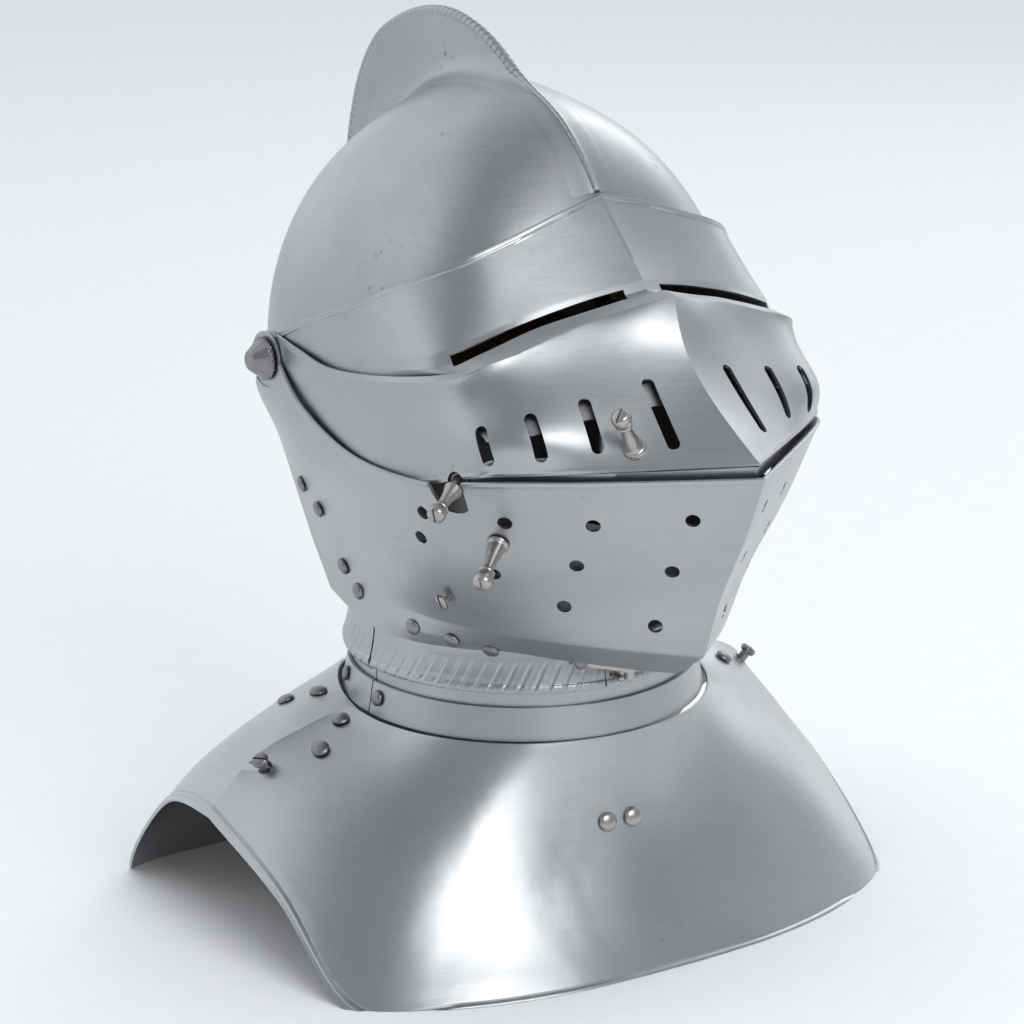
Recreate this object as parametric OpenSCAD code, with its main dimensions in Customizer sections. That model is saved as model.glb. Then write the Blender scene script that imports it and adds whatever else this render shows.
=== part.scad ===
// Close helmet with a high comb, standing on its gorget.
// +Z up, the face looks along -Y, the wearer's right is -X, millimetres.

/* [Plates] */
// Thickness of the helmet's steel plates
plate = 1.5; // [1.2:0.1:1.8]
// Thickness of the gorget's steel plates
gorget_plate = 1.6; // [1.2:0.1:2]
// Width of the sight slits
sight_width = 5; // [3:0.5:6]
// Width of the breath slots
slot_width = 6; // [4:0.5:7]
// Radius of the breath holes
hole_r = 3.5; // [2:0.5:4]

/* [Pivots] */
// Distance of the pivot axis behind the neck's axis
pivot_back = 65; // [64:0.5:66]
// Height of the pivot axis
pivot_z = 274; // [273:0.5:275]
// Radius of the pivot bolts
bolt_r = 3; // [2:0.5:4]
// Radius of the round arm ends at the pivots
arm_r = 13.5; // [13:0.5:14]
// Radius of the rosettes
rosette_r = 11; // [8:0.5:12]

/* [Neck] */
// Radius of the collar's bead, which the neck rim runs on
bead_ring_r = 86; // [85:0.5:87]
// Height of the bead
bead_z = 131.5; // [130:0.5:133]
// Radius of the bead's own section
bead_r = 2; // [1.5:0.1:2.2]

/* [Hidden] */

$fn = 64;
frame_y = 31;
run_clearance = 0.05;
steel = [0.70, 0.71, 0.72];
bright_steel = [0.80, 0.80, 0.80];
dark_steel = [0.45, 0.46, 0.47];
leather_brown = [0.35, 0.22, 0.13];
linen = [0.72, 0.66, 0.54];

neck_y = -15;
pivot_y = neck_y + pivot_back;

bush_r = 8;

// Outer faces of the stacked arm ends, measured from the middle of the helmet
visor_x = 104.2;
ventail_x = 106.3;
bevor_x = 108.4;
rosette_x = 108.7;

// ---------------------------------------------------------------- curves and sheets

// Point at t on a smooth curve through the points p, t running from 0 to len(p) - 1
function curve(p, t) =
    let (n = len(p) - 1,
         i = min(floor(t), n - 1),
         f = t - i,
         b = p[i],
         c = p[i + 1],
         a = i == 0 ? 2 * b - c : p[i - 1],
         d = i + 2 > n ? 2 * c - b : p[i + 2])
    b + f * ((c - a) + f * ((2 * a - 5 * b + 4 * c - d) + f * (3 * b - a - 3 * c + d))) / 2;

// Everything below the floor that the gorget stands on
module below_floor() {
    translate([-300, -300, -60]) cube([600, 600, 60]);
}

// Grid of points on the surface through the rails, one row for each v
function surface_grid(rails, us, vs) =
    [for (v = vs) [for (u = us) curve([for (r = rails) curve(r, u)], v)]];

// A grid row that starts on the middle line, continued to the wearer's left
function both_sides(row) =
    concat([for (i = [len(row) - 1:-1:1]) [-row[i][0], row[i][1], row[i][2]]], row);
function whole(grid) = [for (row = grid) both_sides(row)];

function unit(v) = v / norm(v);
function clamp(i, n) = max(0, min(n, i));

// Outward normal of a grid at row j and column i; a wrapped grid closes on itself along i
function grid_normal(g, j, i, wrap) =
    let (m = len(g) - 1,
         n = len(g[0]),
         before = wrap ? (i + n - 1) % n : clamp(i - 1, n - 1),
         after = wrap ? (i + 1) % n : clamp(i + 1, n - 1),
         du = g[j][after] - g[j][before],
         dv = g[clamp(j + 1, m)][i] - g[clamp(j - 1, m)][i])
    unit(cross(du, dv));

function moved_grid(g, d, wrap) =
    [for (j = [0:len(g) - 1]) [for (i = [0:len(g[0]) - 1])
        g[j][i] + d * grid_normal(g, j, i, wrap)]];

function flat_list(g) = [for (row = g) for (p = row) p];
function quad(a, b, c, d) = [[a, b, c], [a, c, d]];

// Frame on the surface through the rails at (u, v), with Z along the outward normal
module on_rails(rails, u, v) {
    step = 0.02;
    p = curve([for (r = rails) curve(r, u)], v);
    beside = curve([for (r = rails) curve(r, u - step)], v);
    above = curve([for (r = rails) curve(r, u)], v - step);
    facing(p, cross(p - beside, p - above)) children();
}

// Plate that follows a grid, from `outside` above it to `inside` below it
module sheet(g, inside, outside = 0) {
    rows = len(g);
    cols = len(g[0]);
    m = rows - 1;
    k = cols - 1;
    upper = flat_list(moved_grid(g, outside, false));
    lower = flat_list(moved_grid(g, -inside, false));
    function o(j, i) = j * cols + i;
    function n(j, i) = rows * cols + j * cols + i;
    faces = concat(
        [for (j = [0:m - 1]) for (i = [0:k - 1]) for (f = concat(
            quad(o(j, i), o(j + 1, i), o(j + 1, i + 1), o(j, i + 1)),
            quad(n(j, i), n(j, i + 1), n(j + 1, i + 1), n(j + 1, i)))) f],
        [for (i = [0:k - 1]) for (f = concat(
            quad(o(0, i), o(0, i + 1), n(0, i + 1), n(0, i)),
            quad(o(m, i + 1), o(m, i), n(m, i), n(m, i + 1)))) f],
        [for (j = [0:m - 1]) for (f = concat(
            quad(o(j + 1, 0), o(j, 0), n(j, 0), n(j + 1, 0)),
            quad(o(j, k), o(j + 1, k), n(j + 1, k), n(j, k)))) f]);
    polyhedron(points = concat(upper, lower), faces = faces, convexity = 10);
}

// Bowl that follows a wrapped grid, closed over the top by the point `top`
module bowl(g, top, inside) {
    rows = len(g);
    cols = len(g[0]);
    m = rows - 1;
    last = 2 * rows * cols;
    lower = flat_list(moved_grid(g, -inside, true));
    function o(j, i) = j * cols + i % cols;
    function n(j, i) = rows * cols + j * cols + i % cols;
    faces = concat(
        [for (j = [0:m - 1]) for (i = [0:cols - 1]) for (f = concat(
            quad(o(j, i), o(j + 1, i), o(j + 1, i + 1), o(j, i + 1)),
            quad(n(j, i), n(j, i + 1), n(j + 1, i + 1), n(j + 1, i)))) f],
        [for (i = [0:cols - 1]) for (f = concat(
            quad(o(m, i + 1), o(m, i), n(m, i), n(m, i + 1)),
            [[last, o(0, i), o(0, i + 1)], [last + 1, n(0, i + 1), n(0, i)]])) f]);
    polyhedron(points = concat(flat_list(g), lower, [top, top - [0, 0, inside]]),
        faces = faces, convexity = 10);
}

// ---------------------------------------------------------------- placing

module placed() {
    translate([0, frame_y, 0]) children();
}

// Frame at p whose Z runs along n and whose X leans along `lean`
module facing(p, n, lean = [0, 0, 1]) {
    z = unit(n);
    y = unit(cross(z, lean));
    x = cross(y, z);
    multmatrix([[x[0], y[0], z[0], p[0]], [x[1], y[1], z[1], p[1]], [x[2], y[2], z[2], p[2]],
        [0, 0, 0, 1]]) children();
}

// A round bar along the pivot axis, between two distances from the middle, on one side
module pivot_rod(r, from, to, side) {
    translate([side * from, pivot_y, pivot_z])
        rotate([0, side * 90, 0])
            cylinder(h = to - from, r = r);
}

module pivot_bores() {
    for (side = [-1, 1]) pivot_rod(bolt_r + run_clearance, 90, 120, side);
}

// A plate whose two arms end in flat discs on the pivot axis; x is the discs' outer face
module pivoted_plate(grid, x) {
    difference() {
        sheet(grid, plate);
        for (side = [-1, 1]) {
            pivot_rod(arm_r + 0.8, 80, x - plate, side);
            pivot_rod(arm_r + 0.8, x, 125, side);
        }
    }
    for (side = [-1, 1]) pivot_rod(arm_r, x - plate, x, side);
}

// Domed rivet head on its shank, standing along Z
module rivet(head_r, shank_r = 2, shank_length = 5) {
    rise = head_r * 0.55;
    dome_r = (head_r * head_r + rise * rise) / (2 * rise);
    intersection() {
        translate([0, 0, rise - dome_r]) sphere(r = dome_r);
        cylinder(h = rise + 1, r = head_r);
    }
    if (shank_length > 0)
        translate([0, 0, -shank_length]) cylinder(h = shank_length + 0.5, r = shank_r);
}

// Turned spool with a waist and a round slotted head, standing along Z
module spool(length) {
    difference() {
        rotate_extrude()
            polygon([[0, -3], [3.2, -3], [3.2, 1.5], [3.9, 1.5], [3.4, length * 0.3],
                [2.6, length * 0.62], [4.2, length * 0.7], [4.6, length * 0.9],
                [3.4, length], [0, length]]);
        translate([-6, -0.5, length - 1]) cube([12, 1, 2]);
    }
}

// Lifting peg at p: a spool along `lean` on a washer that lies on the plate
module lifting_peg(p, lean, normal, length) {
    facing(p, lean) spool(length);
    facing(p + 0.6 * unit(normal), normal) cylinder(h = 1.6, r = 5);
}

// ---------------------------------------------------------------- gorget

function ring_point(r, angle, z) = [-r * sin(angle), neck_y - r * cos(angle), z];

// Rails of the front plate's right half, from the middle to the shoulder
collar_angles = [0, 22, 42, 62, 80, 98];
main_top_r = 94;
main_top_z = 106;
front_rails = [
    [for (a = collar_angles) ring_point(main_top_r, a, main_top_z)],
    [[0, -114, 70], [-40, -108, 70], [-75, -99, 71], [-105, -74, 77], [-116, -38, 92],
        [-118, -3, 101.5]],
    [[0, -127, 34], [-49, -122, 34], [-92, -114, 36], [-131, -93, 42], [-144, -45, 68],
        [-146, 2, 88.5]],
    [[0, -155, -3], [-60, -151.5, -3], [-113, -138, -3], [-158, -111, -3], [-165, -52, 37],
        [-168, 12, 60]]];

// Rails of the back plate's right half, from the shoulder to the middle
back_top = [[94, 91.3, 103.5], [112, 92.5, 107], [130, 93.5, 109], [150, 93.5, 109],
    [165, 93.5, 109], [180, 93.5, 109]];
back_rails = [
    [for (b = back_top) ring_point(b[1], b[0], b[2])],
    [[-115.5, -6, 97.8], [-116.5, 28, 100], [-100, 56, 93], [-66, 77, 85], [-32, 86, 81],
        [0, 88, 80]],
    [[-144.5, -2, 84.2], [-148, 40, 80], [-134, 78, 53], [-88, 92, 43], [-44, 99, 39],
        [0, 101, 38]],
    [[-163.8, 2, 56.5], [-169, 52, 54], [-162, 105, -3], [-108, 109, -3], [-54, 112, -3],
        [0, 113, -3]]];

function span(from, to, steps) = [for (i = [0:steps]) from + (to - from) * i / steps];

// Middle of the studs that close the gorget on the shoulders
stud_x = 145;
stud_y = -6;
stud_z = 86.5;
stud_shank_r = 2.5;

module at_stud(side) {
    facing([side * stud_x, stud_y, stud_z], [side * 0.58, -0.25, 0.78], [side * -0.6, -0.8, 0])
        children();
}

module keyhole_cutter(side) {
    at_stud(side) {
        translate([0, 0, -8]) cylinder(h = 16, r = stud_shank_r + 1.2);
        translate([-11, -2, -8]) cube([11, 4, 16]);
        translate([-11, 0, -8]) cylinder(h = 16, r = 2);
    }
}

module gorget_front_plate() {
    color(steel) placed() difference() {
        sheet(whole(surface_grid(front_rails, span(0, 5, 10), span(0, 3, 6))), gorget_plate);
        below_floor();
        for (side = [-1, 1]) keyhole_cutter(side);
        for (p = breast_rivet_places) facing(p, breast_normal) cylinder(h = 20, r = 2.6,
            center = true);
    }
}

module gorget_back_plate() {
    half = surface_grid(back_rails, span(0, 5, 10), span(0, 3, 6));
    grid = [for (row = half) concat(row, [for (i = [len(row) - 2:-1:0])
        [-row[i][0], row[i][1], row[i][2]]])];
    color(steel) placed() difference() {
        sheet(grid, gorget_plate);
        below_floor();
        for (side = [-1, 1]) at_stud(side)
            cylinder(h = 20, r = stud_shank_r + run_clearance, center = true);
    }
}

// Half ring of an outline in r and z; the front half is centred on -Y
module half_ring(front, gap = 0.4) {
    turn = front ? 180 : 0;
    opening = asin(gap / bead_ring_r);
    translate([0, neck_y, 0])
        rotate([0, 0, turn + opening])
            rotate_extrude(angle = 180 - 2 * opening) children();
}

module collar_upper_outline() {
    translate([bead_ring_r, bead_z]) circle(r = bead_r);
    polygon([[84.1, bead_z], [85.7, bead_z], [85.9, 117], [84.3, 117]]);
}

module collar_lower_outline() {
    polygon([[86.3, 122], [87.9, 122], [90.6, 106], [89, 106]]);
}

module collar_upper_front() {
    color(steel) placed() half_ring(true) collar_upper_outline();
}

module collar_upper_back() {
    color(steel) placed() half_ring(false) collar_upper_outline();
}

module collar_lower_front() {
    color(steel) placed() half_ring(true) collar_lower_outline();
}

module collar_lower_back() {
    color(steel) placed() half_ring(false) collar_lower_outline();
}

// Rivets down both sides of the shoulder seams, on the rails of the two main plates
front_rivets = [[4.75, 0.45], [4.5, 1.15]];
back_rivets = [[1.1, 0.35], [1.25, 0.85]];
collar_rivet_angles = [86, 112];

module gorget_rivets() {
    color(dark_steel) placed() for (side = [-1, 1]) scale([side, 1, 1]) {
        for (r = front_rivets) on_rails(front_rails, r[0], r[1])
            translate([0, 0, 0.5]) rivet(4.6, 1, 0);
        for (r = back_rivets) on_rails(back_rails, r[0], r[1])
            translate([0, 0, 0.5]) rivet(4.6, 1, 0);
        for (a = collar_rivet_angles)
            facing(ring_point(89.7, a, 115), ring_point(1, a, 0.2) - [0, neck_y, 0])
                rivet(4, 1, 0);
    }
}

breast_rivet_places = [[-16, -113.4, 65], [-2, -114.7, 65]];
breast_normal = [-0.1, -0.96, 0.26];

module breast_rivets() {
    color(bright_steel) placed()
        for (p = breast_rivet_places) facing(p + 0.5 * breast_normal, breast_normal) rivet(4.8, 2.5, 4);
}

module shoulder_stud(side) {
    at_stud(side) {
        translate([0, 0, -7]) cylinder(h = 10.5, r = stud_shank_r);
        translate([0, 0, -8.5]) cylinder(h = 2, r = 5);
        translate([0, 0, 3.2]) difference() {
            rotate_extrude() polygon([[0, 0], [3.6, 0], [4.2, 2.2], [2.6, 3.4], [0, 3.4]]);
            translate([-6, -0.6, 2.2]) cube([12, 1.2, 3]);
        }
    }
}

module shoulder_stud_right() {
    color(dark_steel) placed() shoulder_stud(-1);
}

module shoulder_stud_left() {
    color(dark_steel) placed() shoulder_stud(1);
}

// ---------------------------------------------------------------- skull

skull_half_width = 104;
skull_front = 110;
skull_back = 140;
skull_rise = 134;
skull_y = 1.3;
skull_z = 270;
keel_rise = 6;

// Half width, middle and length behind the middle of the skull below its widest level
lower_sections = [[245, 103, 0, 136], [220, 100, -4, 124], [195, 95, -9, 109],
    [175, 91, -13, 97], [156, 88.6, neck_y, 88.6]];

function signed_power(v, p) = sign(v) * pow(abs(v), p);

// Horizontal section of the skull at the angle a, 0 at the front and 90 at the right
function section_point(a, half_width, middle, front, back, z) =
    let (ahead = cos(a) >= 0, p = 2 / (ahead ? 2.7 : 2.2))
    [-half_width * signed_power(sin(a), p),
     middle - (ahead ? front : back) * signed_power(cos(a), p),
     z];

// The skull rises to a low keel under the comb
function keeled(p) =
    p + [0, 0, keel_rise * exp(-pow(p[0] / 24, 2)) * clamp((p[2] - 330) / 60, 1)];

skull_angles = [for (i = [0:35]) i * 10];
function dome_row(tilt, grow) =
    [for (a = skull_angles) keeled(section_point(a,
        (skull_half_width + grow) * cos(tilt), skull_y, (skull_front + grow) * cos(tilt),
        (skull_back + grow) * cos(tilt), skull_z + (skull_rise + grow) * sin(tilt)))];
function lower_row(s, grow) =
    [for (a = skull_angles)
        section_point(a, s[1] + grow, s[2], s[1] + grow, s[3] + grow, s[0])];
dome_tilts = [82, 72, 62, 52, 42, 32, 22, 12, 2];

function skull_grid(grow = 0) = concat(
    [for (t = dome_tilts) dome_row(t, grow)], [for (s = lower_sections) lower_row(s, grow)]);

function skull_top(grow = 0) = keeled([0, skull_y, skull_z + skull_rise + grow]);

// Side view of the face opening, cut straight through from side to side
face_opening = [[-200, 352], [-128, 352], [-100, 346], [-70, 332], [-30, 310], [5, 296],
    [26, 283], [38, 262], [46, 240], [48, 222], [42, 197], [30, 175], [14, 159], [14, 100],
    [-200, 100]];

module across(outline) {
    multmatrix([[0, 0, 1, 0], [1, 0, 0, 0], [0, 1, 0, 0], [0, 0, 0, 1]])
        linear_extrude(height = 400, center = true) polygon(outline);
}

module skull() {
    color(steel) placed() difference() {
        bowl(skull_grid(), skull_top(), plate);
        across(face_opening);
        for (side = [-1, 1]) pivot_rod(bush_r + run_clearance, 80, 120, side);
        for (a = nape_rivet_angles) nape_rivet_place(a) cylinder(h = 12, r = 1.6,
            center = true);
    }
}

// Edge of the comb in side view, from the brow to the nape
comb_edge = [[-76, 365.5], [-65, 375.5], [-52, 388.5], [-34.6, 402.5], [-12, 414.5],
    [14.6, 429.5], [44, 437], [72, 435.7], [99.4, 426.8], [121.8, 412.6], [138.5, 388],
    [149, 353.6], [150.5, 325], [147, 298], [142.6, 272]];

// Way out from the skull's middle towards an edge point
function comb_way(e) = unit([0, e[0] - skull_y, e[1] - skull_z]);

// Root of the comb: where that way leaves the keeled skull
function comb_root(e) =
    let (dy = e[0] - skull_y, dz = e[1] - skull_z,
         reach = dy < 0 ? skull_front : skull_back,
         k = 1 / norm([dy / reach, dz / skull_rise]),
         p = [0, skull_y + dy * k, skull_z + dz * k],
         way = comb_way(e))
    p + way * way[2] * (keeled(p)[2] - p[2]);

comb_least = 1;
comb_clearance = 0.6;

// Cross-section of the comb at an edge point: plate, spreading foot and roped edge
function comb_section(e) =
    let (root = comb_root(e), up = comb_way(e),
         h = max(([0, e[0], e[1]] - root) * up, comb_least),
         foot = min(h * 0.45, 5), head = min(h * 0.35, 4))
    [for (p = [[5, comb_clearance - 1.1], [2.4, foot * 0.6], [1.5, foot],
            [1.5, h - head], [2.8, h - head * 0.6], [1.8, h - head * 0.15],
            [-1.8, h - head * 0.15], [-2.8, h - head * 0.6], [-1.5, h - head],
            [-1.5, foot], [-2.4, foot * 0.6], [-5, comb_clearance - 1.1],
            [0, comb_clearance]])
        root + up * p[1] + [p[0], 0, 0]];

module comb() {
    stations = [for (t = span(2, len(comb_edge) - 1, 38)) comb_section(curve(comb_edge, t))];
    cols = len(stations[0]);
    last = len(stations) - 1;
    function at(j, i) = j * cols + i % cols;
    faces = concat(
        [for (j = [0:last - 1]) for (i = [0:cols - 1])
            for (f = quad(at(j, i), at(j, i + 1), at(j + 1, i + 1), at(j + 1, i))) f],
        [[for (i = [cols - 1:-1:0]) at(0, i)], [for (i = [0:cols - 1]) at(last, i)]]);
    color(steel) placed()
        polyhedron(points = flat_list(stations), faces = faces, convexity = 10);
}

// ---------------------------------------------------------------- neck

// Wall of a neck plate with its hollow rim round the collar's bead; a lip closes the rim
module neck_outline(lip) {
    rim_inner = 2.7;
    rim_outer = 4.2;
    difference() {
        union() {
            translate([bead_ring_r, bead_z]) circle(r = rim_outer);
            polygon([[85.2, 163], [86.6, 163], [86.9, 150], [88, 141], [89.2, bead_z + 2],
                [86, bead_z + 3.4], [86.2, 141], [85.3, 150]]);
        }
        translate([bead_ring_r, bead_z]) circle(r = rim_inner);
        if (!lip) translate([70, bead_z - 10]) square([30, 9]);
        if (lip) translate([70, bead_z - 10]) square([16.5, 10]);
        translate([70, bead_z - 10]) square([13.8, 10.4]);
    }
}

// Sector of the neck from one angle to another, 0 at the front and growing to the right
module neck_sector(from, to) {
    translate([0, neck_y, 0])
        rotate([0, 0, 270 - to])
            rotate_extrude(angle = to - from) children();
}

seam_angle = 90;
front_seam_angle = 7;

module nape_plate() {
    color(steel) placed() difference() {
        neck_sector(seam_angle + 0.4, 360 - seam_angle - 0.4) neck_outline(true);
        for (a = nape_rivet_angles) nape_rivet_place(a) cylinder(h = 12, r = 1.6,
            center = true);
    }
}

module neck_lame_right() {
    color(steel) placed() difference() {
        neck_sector(front_seam_angle + 0.1, seam_angle - 0.4) neck_outline(false);
        facing(ring_point(hook_r, hook_angle, hook_z), hook_out) cylinder(h = 16,
            r = 1.5 + run_clearance, center = true);
    }
}

module neck_lame_left() {
    color(steel) placed() neck_sector(270.4, 360 + front_seam_angle - 0.1)
        neck_outline(false);
}

nape_rivet_angles = [122, 141, 160, 200, 219, 238];

// Point on the skull's lowest band at height z
function nape_point(a, z) =
    let (top = lower_sections[3], foot = lower_sections[4],
         f = (z - foot[0]) / (top[0] - foot[0]))
    (1 - f) * section_point(a, foot[1], foot[2], foot[1], foot[3], foot[0])
    + f * section_point(a, top[1], top[2], top[1], top[3], top[0]);

module nape_rivet_place(a) {
    facing(nape_point(a, 160), cross(nape_point(a, 161) - nape_point(a, 159),
        nape_point(a + 4, 160) - nape_point(a - 4, 160))) children();
}

module nape_rivets() {
    color(dark_steel) placed()
        for (a = nape_rivet_angles) nape_rivet_place(a) translate([0, 0, 0.4]) rivet(3.6, 1.5, 5);
}

// ---------------------------------------------------------------- lining

module liner_cap() {
    rows = [for (t = [82, 66, 50, 34, 18, 4]) dome_row(t, -3)];
    color(linen) placed() difference() {
        bowl(rows, skull_top(-3), 8);
        across([for (p = face_opening) p + [14, 8]]);
        for (side = [-1, 1]) pivot_rod(14, 80, 120, side);
    }
}

module lining_band() {
    rows = [for (s = [[262, 103.5, 1, 139], [245, 103, 0, 136], [228, 101, -3, 128]])
        lower_row(s, -3)];
    grid = [for (row = rows) [for (i = [11:25]) row[i]]];
    color(leather_brown) placed() sheet(grid, 2.2);
}

// ---------------------------------------------------------------- pivots

module pivot_spacers() {
    color(steel) placed() for (side = [-1, 1]) difference() {
        pivot_rod(bush_r, 95.4, 102.2, side);
        pivot_rod(bolt_r + run_clearance, 90, 110, side);
    }
}

module pivot_bolt(side) {
    pivot_rod(bolt_r, 91, 112, side);
}

module pivot_bolt_right() {
    color(dark_steel) placed() pivot_bolt(-1);
}

module pivot_bolt_left() {
    color(dark_steel) placed() pivot_bolt(1);
}

module pivot_nuts() {
    color(dark_steel) placed() for (side = [-1, 1]) difference() {
        union() {
            pivot_rod(bush_r, 94.2, 95.4, side);
            translate([side * 91, pivot_y, pivot_z]) rotate([0, side * 90, 0])
                cylinder(h = 3.1, r = 6, $fn = 6);
        }
        pivot_rod(bolt_r + 0.02, 88, 100, side);
    }
}

// Low faceted cone with a flat top and a serrated foot
module rosette(side) {
    teeth = 24;
    translate([side * rosette_x, pivot_y, pivot_z]) rotate([0, side * 90, 0]) difference() {
        union() {
            cylinder(h = 2, r = rosette_r - 0.8);
            translate([0, 0, 2]) cylinder(h = 7.2, r1 = rosette_r - 1.2, r2 = 4.6);
            for (i = [0:teeth - 1]) rotate([0, 0, i * 360 / teeth])
                translate([rosette_r - 1.3, -0.8, 0]) cube([1.3, 1.6, 2.2]);
        }
        translate([0, 0, -1]) cylinder(h = 112 - rosette_x + 1, r = bolt_r + 0.02);
    }
}

module rosette_right() {
    color(bright_steel) placed() rosette(-1);
}

module rosette_left() {
    color(bright_steel) placed() rosette(1);
}

// ---------------------------------------------------------------- visor

// Rails of the right half, from the ridge to the pivot: brow edge, both edges of the sight,
// the fold of the step under it and the hidden lower edge
visor_rails = [
    [[0, -80.5, 367.3], [-24, -82, 361.6], [-50, -80.5, 352.8], [-73.5, -74, 343.8],
        [-90.5, -57, 333.4], [-97, -42.5, 326], [-101, -27, 318.5], [-104, 8, 304],
        [-104.4, 30, 294.5], [-104.2, 46, 287]],
    [[0, -116, 333], [-25, -109, 328], [-50, -102.7, 322], [-77, -95.5, 312],
        [-92, -89, 306], [-100, -75, 301], [-104.5, -44, 295], [-106, -5, 288],
        [-105.1, 24, 282], [-104.2, 46, 276]],
    [[0, -119.5, 329.2], [-26, -112, 323.2], [-54, -105, 315.2], [-77, -100.5, 307.2],
        [-92, -93, 300.5], [-100.5, -79, 296], [-105, -48, 290], [-106.3, -8, 283],
        [-105.1, 23, 277], [-104.2, 46, 271.5]],
    [[0, -131, 329.5], [-23.5, -119.3, 321.8], [-46.5, -113.5, 315], [-69, -109.5, 307],
        [-84.5, -104, 300.8], [-94, -93.5, 294.5], [-104, -56, 286], [-106.6, -12, 278.5],
        [-105.1, 22, 272], [-104.2, 46, 266]],
    [[0, -132, 319.5], [-23.5, -120, 312], [-46.5, -114.5, 305.5], [-69, -110.5, 297.5],
        [-85, -105, 291], [-95, -94, 284.5], [-104.5, -58, 277], [-106.6, -14, 269.5],
        [-105, 20, 265], [-104.2, 46, 261]]];

module visor() {
    us = concat(span(0, 7, 14), [8, 8.5, 9]);
    vs = [0, 0.5, 1, 2, 3, 4];
    sight_gap = sight_width / 5;
    color(steel) placed() difference() {
        pivoted_plate(whole(surface_grid(visor_rails, us, vs)), visor_x);
        for (side = [-1, 1]) scale([side, 1, 1])
            sheet(surface_grid(visor_rails, span(0.4, 3.9, 7),
                [1.5 - sight_gap / 2, 1.5 + sight_gap / 2]), 5, 5);
        pivot_bores();
    }
}

// ---------------------------------------------------------------- ventail

// Rails of the right half: inner edge of the top step, its fold, two across the bulge and
// the lower edge
ventail_rails = [
    [[0, -132.6, 331.4], [-24, -121, 323.8], [-47.5, -115.5, 317.4], [-70, -111.5, 310],
        [-86, -106.5, 303.8], [-95.5, -96, 297], [-106, -58, 289], [-109.8, -14, 283.5],
        [-108.4, 20, 285.5], [-106.3, 43, 287.2]],
    [[0, -141, 331], [-22, -129.5, 323.5], [-46, -123, 317], [-70, -118.5, 309],
        [-88.5, -112.5, 302.3], [-99, -99.5, 295], [-107, -58, 286.5], [-110.3, -14, 280.3],
        [-108.7, 20, 282.4], [-106.3, 44, 284.5]],
    [[0, -147, 309], [-26, -141, 305.3], [-55, -132, 299.5], [-82, -124.5, 292.5],
        [-93, -115, 287], [-100, -103, 282.6], [-108, -60, 275], [-110.8, -18, 271.5],
        [-108.7, 18, 276], [-106.3, 44, 277.5]],
    [[0, -171, 287], [-25, -164, 283], [-53, -153, 279], [-79.5, -145, 275],
        [-91, -135, 273], [-100, -122, 269.5], [-108.8, -66, 259.5], [-110.6, -20, 260],
        [-108.5, 18, 269], [-106.3, 44, 270]],
    [[0, -208.5, 266.3], [-25, -187.5, 263], [-50, -166.5, 260], [-78, -143, 257],
        [-90, -132, 256], [-99.5, -120, 253.5], [-108.4, -72, 240], [-109.2, -26, 240.5],
        [-107.5, 18, 254], [-106.3, 44, 261]]];

// Top, foot and outward direction of each breath slot on the wearer's right
slots = [
    [[-22.5, -152.5, 294], [-25, -176.5, 272], [-0.33, -0.65, 0.7]],
    [[-52.5, -145, 287.5], [-54, -158, 270.5], [-0.45, -0.72, 0.55]],
    [[-77.5, -138.5, 282.5], [-77, -146.5, 267.5], [-0.42, -0.85, 0.3]],
    [[-96, -125, 276], [-96, -130.5, 264.5], [-0.75, -0.62, 0.2]]];

module slot_cutter(slot) {
    along = slot[1] - slot[0];
    run = norm(along);
    facing(slot[0], slot[2], along) {
        translate([0, -slot_width / 2, -8]) cube([run, slot_width, 16]);
        translate([0, 0, -8]) cylinder(h = 16, r = slot_width / 2);
        translate([run, 0, -8]) cylinder(h = 16, r = slot_width / 2);
    }
}

ventail_peg_place = [-40.2, -167.4, 269.8];
ventail_peg_axis = [-0.54, -0.3, 0.78];
ventail_peg_normal = [-0.44, -0.7, 0.56];
lock_place = [-101.3, -113, 249];
lock_axis = [-0.8, -0.46, -0.38];

module ventail() {
    us = concat(span(0, 7, 14), [8, 8.5, 9]);
    vs = [0, 1, 1.5, 2, 2.5, 3, 3.5, 4];
    color(steel) placed() difference() {
        pivoted_plate(whole(surface_grid(ventail_rails, us, vs)), ventail_x);
        for (side = [-1, 1]) for (e = slots) scale([side, 1, 1]) slot_cutter(e);
        pivot_bores();
        facing(ventail_peg_place, ventail_peg_axis) cylinder(h = 24, r = 3.25, center = true);
        facing(lock_place, lock_axis) cylinder(h = 30, r = 5.6, center = true);
    }
}

// Narrow band fixed inside the lower edge; it hangs below it, behind the bevor's edge
module ventail_strip() {
    held = moved_grid(whole(surface_grid(ventail_rails, span(0, 5, 10), [3.6, 3.8, 4])),
        -plate - 0.5, false);
    hanging = [for (p = held[2]) p + unit([0, pivot_y, p[2]] - p) * 1.5 - [0, 0, 7]];
    color(steel) placed() difference() {
        sheet(concat(held, [hanging]), 1.2);
        facing(lock_place, lock_axis) cylinder(h = 16, r = pin_r + run_clearance,
            center = true);
        facing(ventail_peg_place, ventail_peg_axis) cylinder(h = 24, r = 3.25, center = true);
    }
}

module ventail_peg() {
    color(bright_steel) placed()
        lifting_peg(ventail_peg_place, ventail_peg_axis, ventail_peg_normal, 26);
}

// ---------------------------------------------------------------- bevor

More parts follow.
